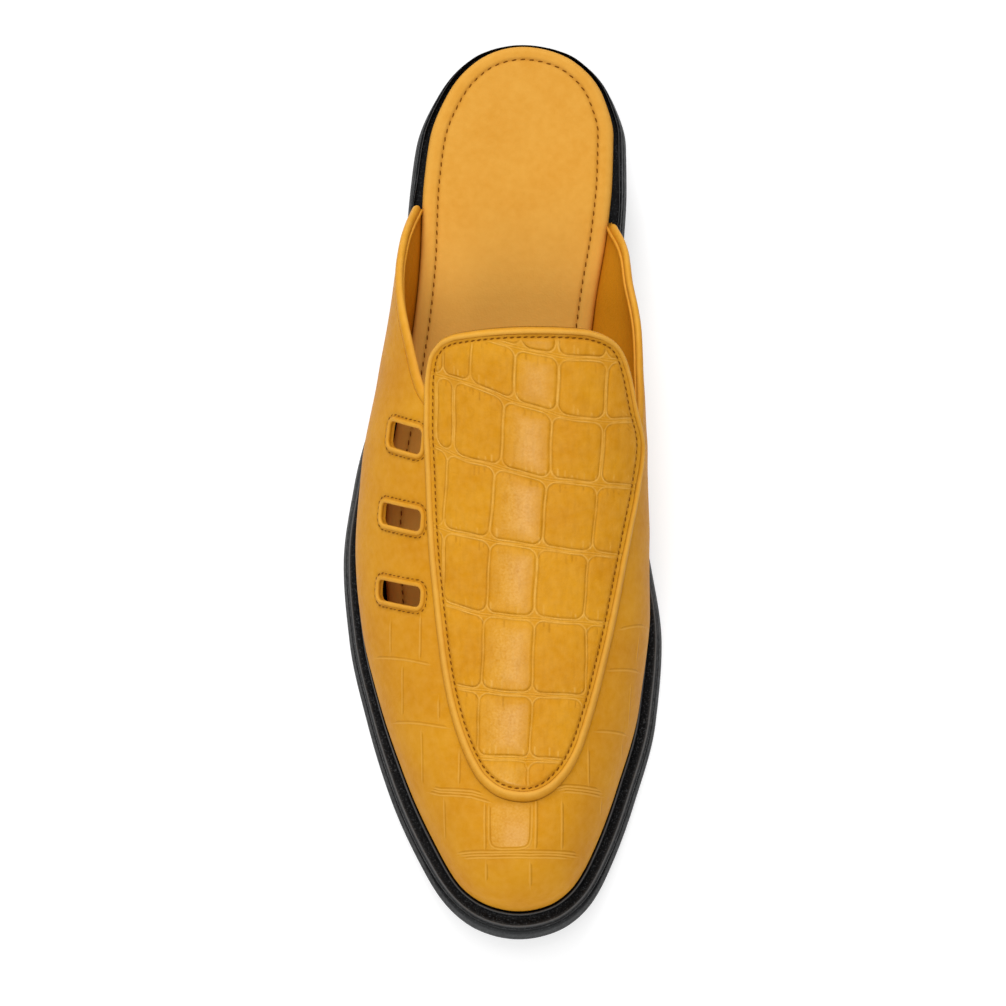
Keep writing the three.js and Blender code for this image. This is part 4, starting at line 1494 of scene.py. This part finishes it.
# Painted shade at the foot of each ridge and a painted highlight on its top, for each point of the section
LINE_HIGHLIGHT_AND_SHADE = {"painted_shade": [0, 0, 0, 0, 0.6, 0.7, 0.2], "ridge": [0, 0.3, 1.7, 1.3, 0, 0, 0]}
LINE_KINDS = {
    "single": {"strength": 0.85, "offsets": [0], "stagger": 0},
    "bundle": {"strength": 1, "offsets": [-0.9, 0, 0.8], "stagger": 7},
}
LINE_ENDS = (0.3, 0.6)
LINE_STEP = 0.5
LINE_FADES = 2.5
LINE_THINNEST = 0.4
LINE_SINKS = 0.07
LINE_FLOOR = 19
LINE_WANDER = 0.04
LINE_WAVE = 2.1
LINE_PHASE = 3


def vamp_strand(plan, offset, number):
    """Rings of one ridge over its line in plan, and how strongly each ring shows."""
    path, out = lift(plan[:, 0], plan[:, 1]), lift_normal(plan[:, 0], plan[:, 1])
    across = unit(np.cross(tangents(path, False), out))
    run = np.arange(len(path)) * LINE_STEP
    thin = smoothstep(0, LINE_FADES, run) * smoothstep(0, LINE_FADES, run[-1] - run)
    shown = between(LINE_THINNEST, 1, thin)
    wander = offset + LINE_WANDER * np.sin(run / LINE_WAVE + number + LINE_PHASE * offset)
    side = LINE_SECTION[:, 0] * shown[:, None] + wander[:, None]
    rise = LINE_SECTION[:, 1] - LINE_SINKS * (1 - thin[:, None])
    rings = path[:, None] + across[:, None] * side[..., None] + out[:, None] * rise[..., None]
    return rings, shown


def build_vamp_lines():
    points = []
    faces = []
    strength = []
    section = len(LINE_SECTION)
    for number, (kind, plan) in enumerate(VAMP_LINES):
        look = LINE_KINDS[kind]
        dense = resample(np.array(plan, float), LINE_STEP, closed=False)
        dense = dense[lift(dense[:, 0], dense[:, 1])[:, 2] > SOLE("top", dense[:, 1]) + LINE_FLOOR]
        for strand, offset in enumerate(look["offsets"]):
            first, last = (int(look["stagger"] * chance(number, strand + end)) for end in LINE_ENDS)
            rings, shown = vamp_strand(dense[first:len(dense) - last], offset, number)
            faces += moved_faces(capped_rings(len(rings), section), len(points))
            points += [*rings.reshape(-1, 3)]
            strength += [*np.repeat(look["strength"] * shown, section)]
    tones = {key: np.tile(tone, len(points) // section) * strength for key, tone in LINE_HIGHLIGHT_AND_SHADE.items()}
    return make_mesh("vamp_lines", np.array(points), faces, tones)


make_piece("vamp_lines", build_vamp_lines(), LEATHER["embossed_leather"], "upper_leather")

# %% [markdown]
# The rolled seam
#
# The rolled seam round the apron is a cord under a strip of smooth leather. Its section is not quite
# round: it leans towards the apron, where the stitches pull it down, and falls off softly towards the
# vamp. It is a little wider over the toe and on the inner side, so each ring of the sweep gets a width
# of its own.

# %% The rolled seam of the apron
ROLL_SECTION = np.array([
    (-1, -0.4), (-1, 0.1), (-0.93, 0.5), (-0.76, 1), (-0.46, 1.5), (-0.1, 1.85),
    (0.25, 2), (0.58, 1.88), (0.83, 1.45), (1, 0.85), (1, -0.4),
])
# Painted shade at both feet of the roll, deepest outside, and a painted highlight along its crest
ROLL_HIGHLIGHT_AND_SHADE = {
    "painted_shade": [2.2, 2.2, 1.4, 0.4, 0.05, 0, 0, 0, 0.2, 0.9, 1.8],
    "ridge": [0, 0, 0, 0, 0.2, 1.2, 2, 1.3, 0.2, 0, 0],
}
ROLL_STEP = 0.7
ROLL_INNER = 1.45
ROLL_OUTER = {"throat": 0.8, "outer side": 1.5, "elsewhere": 1.9}
ROLL_CROSSES = (-28, -8)
ROLL_WIDENS = (1, 25)


def build_roll():
    loop = apron_loop(0, ROLL_STEP)
    path = lift(loop[:, 0], loop[:, 1])
    out = lift_normal(loop[:, 0], loop[:, 1])
    across = unit(np.cross(tangents(path, True), out))
    inward = np.sign(across[path[:, 0].argmin(), 0])
    inner_side = smoothstep(*ROLL_CROSSES, path[:, 0])
    full = between(ROLL_OUTER["outer side"], ROLL_OUTER["elsewhere"], inner_side)
    outer = between(ROLL_OUTER["throat"], full, smoothstep(*ROLL_WIDENS, path[:, 1] - THROAT))
    reach, rise = ROLL_SECTION.T
    width = np.where(reach < 0, reach * outer[:, None], reach * ROLL_INNER)
    section = np.stack([width, np.tile(rise, (len(path), 1))], -1)
    return sweep("rolled_seam", path, across * inward, out, section, True, ROLL_HIGHLIGHT_AND_SHADE)


make_piece("rolled_seam", build_roll(), LEATHER["smooth_leather"], "upper_leather", "apron_roll")

# %% [markdown]
# Toplines
#
# Along the topline the outer leather is turned over the edge into a firm round roll, and the lining
# meets it on the inside in a thin ridge. Both follow the top of the wall and run out thin at the back,
# where the quarter is pulled down under the footbed. One function makes both, with sizes of their own.

# %% Toplines
TOPLINE_ROLL = {
    "lateral": {"across": 1.7, "out": 1.2, "raise": 1.2, "inward": 0},
    "medial": {"across": 1.7, "out": 1.05, "raise": 1.2, "inward": 0},
}
LINING_RIDGE = {"across": 0.55, "out": 0.45, "raise": 0.4, "inward": 1.3}
TOPLINE_FACETS = 18
TOPLINE_STEP = 0.8
TOPLINE_STARTS = 0.5
TOPLINE_CLEAR = 1.2
TOPLINE_FOOT_SHADE = 0.5
THIN_END = 9
THINNEST = 0.15


def topline_path(side):
    """The top edge of a quarter, with its directions up the wall and out of it."""
    ribs, seam, topline = SIDE_RIBS[side]
    edge = rib_points(ribs, topline[:, None])[:, 0]
    ahead = rib_points(ribs, topline[:, None] + NUDGE)[:, 0]
    to_seam = np.linalg.norm(edge - rib_points(ribs, seam[:, None])[:, 0], axis=1)
    free = (topline < seam) & ((ribs["s"] < THROAT) | (to_seam > TOPLINE_CLEAR))
    free &= edge[:, 2] > SOLE("top", edge[:, 1]) + TOPLINE_STARTS
    path, up = edge[free], (ahead - edge)[free]
    both = resample(np.c_[path, up], TOPLINE_STEP, closed=False)
    path, up = both[:, :3], both[:, 3:]
    along = tangents(path, False)
    up = unit(up - along * (up * along).sum(1, keepdims=True))
    out = unit(np.cross(along, up))
    out *= np.sign((out[:, :1] * SIGN[side]).sum())
    return path - out * UPPER_WALL / 2, up, out


def topline_roll(name, side, sizes):
    path, up, out = topline_path(side)
    run = np.r_[0, np.cumsum(np.linalg.norm(np.diff(path, axis=0), axis=1))]
    thin = between(THINNEST, 1, smoothstep(0, THIN_END, run))
    turn = np.linspace(0, 2 * math.pi, TOPLINE_FACETS, endpoint=False)
    ring = np.stack([sizes["across"] * np.cos(turn) + sizes["raise"], sizes["out"] * np.sin(turn)], -1)
    section = ring[None] * thin[:, None, None]
    section[..., 1] -= sizes["inward"]
    # A painted highlight along the top of the roll and painted shade at its foot
    top, foot_shade = (np.clip(sign * np.cos(turn), 0, 1) ** 2 for sign in (1, -1))
    return sweep(name, path, up, out, section, False, {"ridge": top, "painted_shade": TOPLINE_FOOT_SHADE * foot_shade})


for side in SIGN:
    roll = topline_roll(f"topline_roll_{side}", side, TOPLINE_ROLL[side])
    make_piece(f"topline_roll_{side}", roll, LEATHER["smooth_leather"], "upper_leather", f"topline_{side}")
    ridge = topline_roll(f"lining_ridge_{side}", side, LINING_RIDGE)
    make_piece(f"lining_ridge_{side}", ridge, LEATHER["lining_leather"], "upper_leather")

# %% [markdown]
# Rings round the sole
#
# Footbed, welt, outsole and heel all follow the outline of the sole, each a little further in. A ring
# of points at an inset and a height is enough for all of them: rings joined one to the next make a
# side, and a strip across a ring closes it. A grid stretched over the sole would have to be trimmed at
# the edge; rings follow it by themselves.

# %% Helpers for rings
def sole_stations(count):
    return np.unique(np.r_[np.linspace(0, SOLE_LENGTH, count), fine_ends(count // 2, 0, SOLE_LENGTH)])


def sole_ring(stations, inset, height):
    """A ring round the sole: lateral side from heel to toe, then medial side back."""
    chains = []
    for side, order in (("lateral", slice(None)), ("medial", slice(None, None, -1))):
        x, s = sole_edge(side, stations, inset(side, stations))
        chains.append(np.stack([x, s, height(s)], -1)[order])
    return np.concatenate(chains)


def even_inset(distance):
    return lambda side, s: np.full_like(s, distance)


def strip_faces(first, count):
    """Quads across a ring, from its lateral to its medial half."""
    i = np.arange(count // 2 - 1)
    j = count - 1 - i
    return (first + np.stack([i, i + 1, j - 1, j], -1)).tolist()


def across_ring(ring, columns):
    """Points from each lateral point of a ring straight over to its medial partner."""
    half = len(ring) // 2
    left, right = ring[:half, None], ring[half:][::-1][:, None]
    return between(left, right, np.linspace(0, 1, columns)[None, :, None])


EDGE_STATIONS = 100
sole_rim = sole_ring(sole_stations(EDGE_STATIONS), even_inset(0), lambda s: SOLE("top", s))
girth = float(np.linalg.norm(np.diff(sole_rim, axis=0), axis=1).sum())
print("the sole measures", round(girth), "mm round its edge")

# %% [markdown]
# The footbed
#
# The footbed is a foam pad wrapped in leather. Its rings run from the bottom edge over a soft rounding
# and across a sewn channel; the middle is dished where the foot rests. A highlight is painted along the
# rounding and shade into the channel. Towards the throat the apron shades the footbed, and light is
# painted on there to brighten it; the mesh carries that as ridge.

# %% The padded footbed
INSOLE_THICKNESS = 6.8
FOOTBED_STATIONS = 180
FOOTBED_COLUMNS = 26
FOOTBED_SEAM = 4.7
# Painted shade in the sewn channel, and a painted highlight along the rounding
FOOTBED_SEAM_SHADE = {"share": 0.6, "width": 0.5}
FOOTBED_ROUNDING_HIGHLIGHT = {"share": 0.8, "inset": 1.3, "width": 0.7}
FOOTBED_DISH = 0.9
FOOTBED_DISHES = (10, 45)
# Painted light that brightens the footbed in the apron's shade, growing towards the throat
FOOTBED_PAINTED_LIGHT = 2.4
FOOTBED_PAINTED_LIGHT_SPAN = (42, 98)

# The footbed's section from the bottom edge: how far in, and how far under its top
FOOTBED_SECTION = np.array([
    (1.2, 6.8), (0.35, 4.6), (0, 3), (0.1, 2), (0.4, 1.2), (0.95, 0.55), (1.7, 0.16), (2.5, 0), (3.6, 0),
    (4.1, 0.1), (4.45, 0.34), (FOOTBED_SEAM, 0.46), (4.95, 0.34), (5.3, 0.1), (6, 0), (7.2, 0.03), (9, 0.1),
])


def footbed_ring(inset, drop):
    """A ring on the footbed, in from its edge and down from its top."""
    def from_edge(side, s):
        return FOOTBED_EDGE(side, s) + inset

    def height(s):
        return SOLE("top", s) + CLEARANCE + INSOLE_THICKNESS - drop

    return sole_ring(sole_stations(FOOTBED_STATIONS), from_edge, height)


def build_footbed():
    rings = [footbed_ring(inset, drop) for inset, drop in FOOTBED_SECTION]
    count = len(rings[0])
    faces = ring_faces(len(rings), count, False) + strip_faces(0, count)
    middle = across_ring(rings[-1], FOOTBED_COLUMNS)
    dish = np.sin(math.pi * np.linspace(0, 1, FOOTBED_COLUMNS)) ** 2
    middle[..., 2] -= FOOTBED_DISH * dish * smoothstep(*FOOTBED_DISHES, middle[..., 1])
    faces += grid_faces(*middle.shape[:2], first=len(rings) * count)
    points = np.r_[np.concatenate(rings), middle.reshape(-1, 3)]
    inset = FOOTBED_SECTION[:, 0]
    seam = FOOTBED_SEAM_SHADE["share"] * bell(inset - FOOTBED_SEAM, FOOTBED_SEAM_SHADE["width"])
    rounding_highlight = bell(inset - FOOTBED_ROUNDING_HIGHLIGHT["inset"], FOOTBED_ROUNDING_HIGHLIGHT["width"])
    tones = {"painted_shade": seam, "ridge": FOOTBED_ROUNDING_HIGHLIGHT["share"] * rounding_highlight}
    plain = np.zeros(len(points) - len(rings) * count)
    values = {key: np.r_[np.repeat(tone, count), plain] for key, tone in tones.items()}
    # Painted light over the shade under the apron
    values["ridge"] += FOOTBED_PAINTED_LIGHT * smoothstep(*FOOTBED_PAINTED_LIGHT_SPAN, points[:, 1])
    return make_mesh("footbed", points, faces, values)


footbed = make_piece("footbed", build_footbed(), LEATHER["footbed_leather"], "footbed_leather", "insole")

# %% [markdown]
# Stitches
#
# A stitch is a short piece of thread that rises out of one hole and dives into the next. One grain of
# thread is made as a few rings and repeated along each seam at its own pitch. Joined into one mesh for
# each seam they stay light, and being real they throw their own small shadows, which a picture of
# stitches would not.

# %% A row of stitches
STITCH_SIDES = 6
STITCH_SLANT = 0.18

# One grain of thread: place along it, share of the thickness and rise over the seam
STITCH_RINGS = np.array([
    (-1, 0.3, -1.1), (-0.8, 0.8, -0.2), (-0.4, 1, 0.25), (0, 1, 0.35),
    (0.4, 1, 0.25), (0.8, 0.8, -0.2), (1, 0.3, -1.1),
])

# Seams, in millimetres
STITCHES = {
    "apron": {"pitch": 1.95, "length": 1.5, "radius": 0.21},
    "footbed": {"pitch": 2.65, "length": 1.65, "radius": 0.2},
    "slot": {"pitch": 1.8, "length": 1.35, "radius": 0.17},
}


def stitch_row(name, path, out, pitch, length, radius):
    """Grains of thread along a closed path on a surface."""
    seam = resample(np.c_[path, out], pitch, closed=True)
    centre, out = seam[:, :3], unit(seam[:, 3:])
    along = tangents(centre, True)
    across = unit(np.cross(along, out))
    along, across = along + STITCH_SLANT * across, across - STITCH_SLANT * along
    turn = np.linspace(0, 2 * math.pi, STITCH_SIDES, endpoint=False)
    at, thick, rise = STITCH_RINGS.T
    spine = centre[:, None] + along[:, None] * (at * length / 2)[:, None]
    spine = spine + out[:, None] * (rise * radius)[:, None]
    spoke = across[:, None] * np.cos(turn)[:, None] + out[:, None] * np.sin(turn)[:, None]
    rings = spine[:, :, None] + spoke[:, None] * (thick * radius)[:, None, None]
    grain = capped_rings(len(STITCH_RINGS), STITCH_SIDES)
    faces = []
    for number in range(len(centre)):
        faces += moved_faces(grain, number * STITCH_SIDES * len(STITCH_RINGS))
    print(name, "has", len(centre), "stitches")
    return make_mesh(name, rings.reshape(-1, 3), faces)


print("seams with a pitch in mm:", {seam: look["pitch"] for seam, look in STITCHES.items()})

# %% [markdown]
# The seams differ only in where they run: in the channel of the apron, in the channel of the footbed,
# and round each slot a little outside its rim. The thread is the same brown in all of them.

# %% Stitches of the apron, the footbed and the slots
APRON_SEAM_STEP = 0.5
FOOTBED_SEAM_SINK = 0.4
SLOT_SEAM_STEP = 0.4

loop = apron_loop(STITCH_INSET, APRON_SEAM_STEP)
seam_out = lift_normal(loop[:, 0], loop[:, 1])
seam = lift(loop[:, 0], loop[:, 1]) + seam_out * (APRON_TOP - STITCH_CHANNEL)
apron_thread = stitch_row("apron_stitching", seam, seam_out, **STITCHES["apron"])
make_piece("apron_stitching", apron_thread, BROWN_THREAD, "upper_leather")

footbed_seam = footbed_ring(FOOTBED_SEAM, FOOTBED_SEAM_SINK)
upward = np.tile([0.0, 0.0, 1.0], (len(footbed_seam), 1))
footbed_thread = stitch_row("footbed_stitching", footbed_seam, upward, **STITCHES["footbed"])
make_piece("footbed_stitching", footbed_thread, BROWN_THREAD, "footbed_leather")

for number, spot in enumerate(SPOTS, 1):
    edge = resample(slot_path(spot, SLOT_SEAM), SLOT_SEAM_STEP, closed=True)
    path, out = drop_on_wall(edge, spot["out"])
    row = stitch_row(f"slot_stitching_{number}", path - out * SLOT_SEAM_DEPTH, out, **STITCHES["slot"])
    make_piece(f"slot_stitching_{number}", row, BROWN_THREAD, "upper_leather")

# %% [markdown]
# The welt
#
# A rubber welt runs round between upper and outsole. It has a raised lip that hugs the leather, a
# pebbled shelf and a rounded outer edge, and a grey highlight is painted along both edges. Its section
# says how far in and how high each ring lies; a bevelled curve could not change its width where the
# shelf narrows at the heel.

# %% The welt
WELT_STATIONS = 200
WELT_INSET = {"along": 1.25, "toe": 1.8}
WELT_TOE = (240, 266)
WELT_TO_UPPER = 0.9
WELT_LEAST = 0.3

# The welt's section: share of the way in from its outer edge, and height over the outsole
WELT_SECTION = [
    (0, 0.2), (0, 2), (0.05, 2.65), (0.12, 3), (0.2, 3.1), (0.27, 2.95), (0.4, 2.9), (0.7, 2.95),
    (0.78, 3.15), (0.83, 3.6), (0.88, 3.85), (0.93, 3.85), (0.98, 3.6), (1, 3.2), (1, 0.2),
]
# Painted highlight along the welt's outer edge and along its lip, for each point of the section
WELT_HIGHLIGHTS = [0, 0, 0, 0.4, 1, 0.2, 0, 0, 0, 0, 0.9, 0.9, 0, 0, 0]


def welt_ring(share, rise):
    def inset(side, s):
        inner = FLANGE(side, s) - WELT_TO_UPPER
        outer = between(WELT_INSET["along"], WELT_INSET["toe"], smoothstep(*WELT_TOE, s))
        return between(np.minimum(outer, inner - WELT_LEAST), inner, share)

    return sole_ring(sole_stations(WELT_STATIONS), inset, lambda s: SOLE("top", s) + rise)


def build_welt():
    rings = [welt_ring(share, rise) for share, rise in WELT_SECTION]
    count = len(rings[0])
    tones = {"ridge": np.repeat(WELT_HIGHLIGHTS, count)}
    return make_mesh("welt_strip", np.concatenate(rings), ring_faces(len(rings), count, True), tones)


make_piece("welt_strip", build_welt(), RUBBER["welt_rubber"], "welt_rubber", "welt")

# %% [markdown]
# The outsole
#
# The outsole is one rubber plate. Rings lead from its top over the side face to the tread, and a grid
# across the last ring carries the wavy grooves of the tread. The grooves could be cut with a boolean,
# but as heights of the grid they end softly by themselves. At the toe a painted sheen turns the rubber
# grey.

# %% The outsole with its tread
SOLE_STATIONS = 320
SOLE_COLUMNS = 60
TREAD_BORDER = 6
TREAD_BORDER_FADE = 1
TREAD_ENDS = (128, 256)
TREAD_END_FADE = 3
TREAD_PITCH = 5.4
TREAD_WIDTH = 0.9
TREAD_DEPTH = 0.7
TREAD_SWING = 0.12
TREAD_WAVE = 7
TOE_SHEEN = 0.25
TOE_SHEEN_SPAN = (252, 268)

# The outsole's side from its upper edge down: how far in, and share of the way from top to bottom
SOLE_SECTION = [
    (3.2, 0), (1.7, 0.01), (1.3, 0.03), (1, 0.08), (0.82, 0.16), (0.6, 0.34),
    (0.2, 0.66), (0, 0.82), (0.08, 0.91), (0.4, 0.97), (0.9, 1),
]


def outsole_ring(inset, share):
    def height(s):
        return between(SOLE("top", s), SOLE("bottom", s), share)

    return sole_ring(sole_stations(SOLE_STATIONS), even_inset(inset), height)


def tread_depth(x, s):
    """Depth of the wavy grooves, which end at a plain border."""
    half = np.where(x < 0, np.sqrt(OUTLINE("lateral", s)), np.sqrt(OUTLINE("medial", s)))
    first, last = TREAD_ENDS
    within = smoothstep(TREAD_BORDER, TREAD_BORDER + TREAD_BORDER_FADE, half - np.abs(x))
    within = within * smoothstep(first, first + TREAD_END_FADE, s)
    within = within * (1 - smoothstep(last - TREAD_END_FADE, last, s))
    wave = np.abs((s / TREAD_PITCH + TREAD_SWING * np.cos(x / TREAD_WAVE)) % 1 - 0.5) * TREAD_PITCH
    return TREAD_DEPTH * within * (1 - smoothstep(TREAD_WIDTH / 2, TREAD_WIDTH, wave))


def build_outsole():
    rings = [outsole_ring(inset, share) for inset, share in SOLE_SECTION]
    count = len(rings[0])
    faces = ring_faces(len(rings), count, False) + strip_faces(0, count)
    tread = across_ring(rings[-1], SOLE_COLUMNS)
    tread[..., 2] += tread_depth(tread[..., 0], tread[..., 1])
    faces += grid_faces(*tread.shape[:2], first=len(rings) * count)
    points = np.r_[np.concatenate(rings), tread.reshape(-1, 3)]
    # A painted sheen that turns the rubber grey towards the tip of the toe
    toe_sheen = TOE_SHEEN * smoothstep(*TOE_SHEEN_SPAN, points[:, 1])
    return make_mesh("sole_unit", points, faces, {"ridge": toe_sheen})


make_piece("sole_unit", build_outsole(), RUBBER["sole_rubber"], "sole_rubber", "outsole")

# %% [markdown]
# The heel
#
# The low heel is a block with a thin top piece under it, which a cobbler can renew. Rings taper it
# towards the floor, with a fine groove where the two meet, and its last ring follows the underside of
# the outsole. A cube cut to shape would need several booleans for the same result.

# %% The heel block and its top piece
HEEL_LENGTH = 70
HEEL_INSET = 1.2
HEEL_TAPER = 1.6
HEEL_STATIONS = 60
HEEL_GAP = CLEARANCE / 3
TOP_PIECE = 5.5

# The heel from the floor up: share of the taper, and height; the last ring lies under the outsole
HEEL_SECTION = [
    (1.5, 0), (1.1, 0.15), (1, 0.6), (0.78, TOP_PIECE - 0.5), (0.95, TOP_PIECE - 0.25),
    (0.95, TOP_PIECE), (0.75, TOP_PIECE + 0.3), (0, None),
]


def heel_ring(taper, level):
    def height(s):
        return SOLE("bottom", s) - HEEL_GAP if level is None else np.full_like(s, level)

    stations = HEEL_LENGTH * (1 - np.cos(np.linspace(0, math.pi / 2, HEEL_STATIONS)))
    return sole_ring(stations, even_inset(HEEL_INSET + HEEL_TAPER * taper), height)


def build_heel():
    rings = [heel_ring(taper, level) for taper, level in HEEL_SECTION]
    count = len(rings[0])
    faces = ring_faces(len(rings), count, False)
    faces += strip_faces(0, count) + strip_faces((len(rings) - 1) * count, count)
    return make_mesh("heel_block", np.concatenate(rings), faces)


make_piece("heel_block", build_heel(), RUBBER["sole_rubber"], "sole_rubber", "heel")

# %% [markdown]
# The floor
#
# The shoe stands on a pale floor that has no edge in the picture. A studio lights its paper from all
# sides, which would take many lamps here; a floor that glows faintly gives the same even tone and lets
# soft shadows stay.

# %% Floor
WHITE = (1, 1, 1, 1)
FLOOR_SIZE = 12.0
FLOOR_LOOK = {
    "Roughness": 0.9, "Specular_IOR_Level": 0.1, "Emission_Color": WHITE, "Emission_Strength": 0.5,
}
FLOOR_TONES = (srgb(202, 202, 202), srgb(206, 206, 206))
FLOOR_NOISE = {"scale": 2, "detail": 2, "low": 0, "high": 1}

half_floor = FLOOR_SIZE / 2
corners = [(a * half_floor, b * half_floor, 0) for a, b in ((-1, -1), (1, -1), (1, 1), (-1, 1))]
floor_mesh = bpy.data.meshes.new("floor")
floor_mesh.from_pydata(corners, [], [(0, 1, 2, 3)])
floor_material, floor_tree, floor_shader = new_material("floor", **FLOOR_LOOK)
floor_tone = mix_colour(floor_tree, noise(floor_tree, **FLOOR_NOISE), *FLOOR_TONES)
link_finish(floor_tree, floor_shader, {"Base Color": floor_tone})
floor_mesh.materials.append(floor_material)
floor = bpy.data.objects.new("floor", floor_mesh)
bpy.context.scene.collection.objects.link(floor)
print("floor is", FLOOR_SIZE, "m wide")

# %% [markdown]
# Light
#
# Soft light comes from large sources. A softbox high above lights the whole shoe, one in front draws
# the gloss down the middle of the apron, a weak one from the left opens the outer wall, and one from
# behind lights the footbed and the back of the rolls. The world fills the rest evenly. An area lamp in
# Blender is such a softbox.

# %% Lights
WORLD_STRENGTH = 0.18
AIM = Vector((0, 0, 0.03))

# Lights: where they stand, how large they are and how strong, all aimed at the shoe
LIGHTS = [
    {"name": "top_softbox", "place": (-0.3, 0.5, 2.05), "size": 1.6, "watts": 16.5},
    {"name": "front_softbox", "place": (-0.1, -1.15, 1.7), "size": 0.9, "watts": 21},
    {"name": "left_softbox", "place": (-1.6, 0.1, 1.2), "size": 1.2, "watts": 1.5},
    {"name": "back_softbox", "place": (-0.1, 1.4, 1.2), "size": 1.0, "watts": 19},
]
for light in LIGHTS:
    lamp = bpy.data.lights.new(light["name"], "AREA")
    lamp.size = light["size"]
    lamp.energy = light["watts"]
    lit = bpy.data.objects.new(light["name"], lamp)
    lit.location = light["place"]
    lit.rotation_euler = (AIM - lit.location).to_track_quat("-Z", "Y").to_euler()
    bpy.context.scene.collection.objects.link(lit)

world = bpy.data.worlds.new("studio")
world.use_nodes = True
background = world.node_tree.nodes["Background"]
background.inputs["Color"].default_value = WHITE
background.inputs["Strength"].default_value = WORLD_STRENGTH
bpy.context.scene.world = world
bpy.context.scene.view_settings.view_transform = "Standard"
print("lights:", [light["name"] for light in LIGHTS])

# %% [markdown]
# Camera
#
# The camera looks down steeply from in front of the toe, through a long lens that keeps the shoe free
# of strong perspective. Its axes are written out instead of being turned by hand, so that the slight
# lean is exact.

# %% Camera
LENS = 150
SENSOR = 36
TARGET = Vector((0, -0.009, 0.030))
DISTANCE = 1.2323
ELEVATION = math.radians(76)
LEAN = math.radians(0.32)

lens = bpy.data.cameras.new("camera")
lens.lens = LENS
lens.sensor_width = SENSOR
camera = bpy.data.objects.new("camera", lens)
back = Vector((0, -math.cos(ELEVATION), math.sin(ELEVATION)))
right = Vector((1, 0, 0))
upright = back.cross(right)
turned_right = right * math.cos(LEAN) + upright * math.sin(LEAN)
turned_up = upright * math.cos(LEAN) - right * math.sin(LEAN)
axes = Matrix((turned_right, turned_up, back)).transposed().to_4x4()
camera.matrix_world = Matrix.Translation(TARGET + back * DISTANCE) @ axes
bpy.context.scene.collection.objects.link(camera)
bpy.context.scene.camera = camera
print("camera", round(DISTANCE, 3), "m away, lens", LENS, "mm")
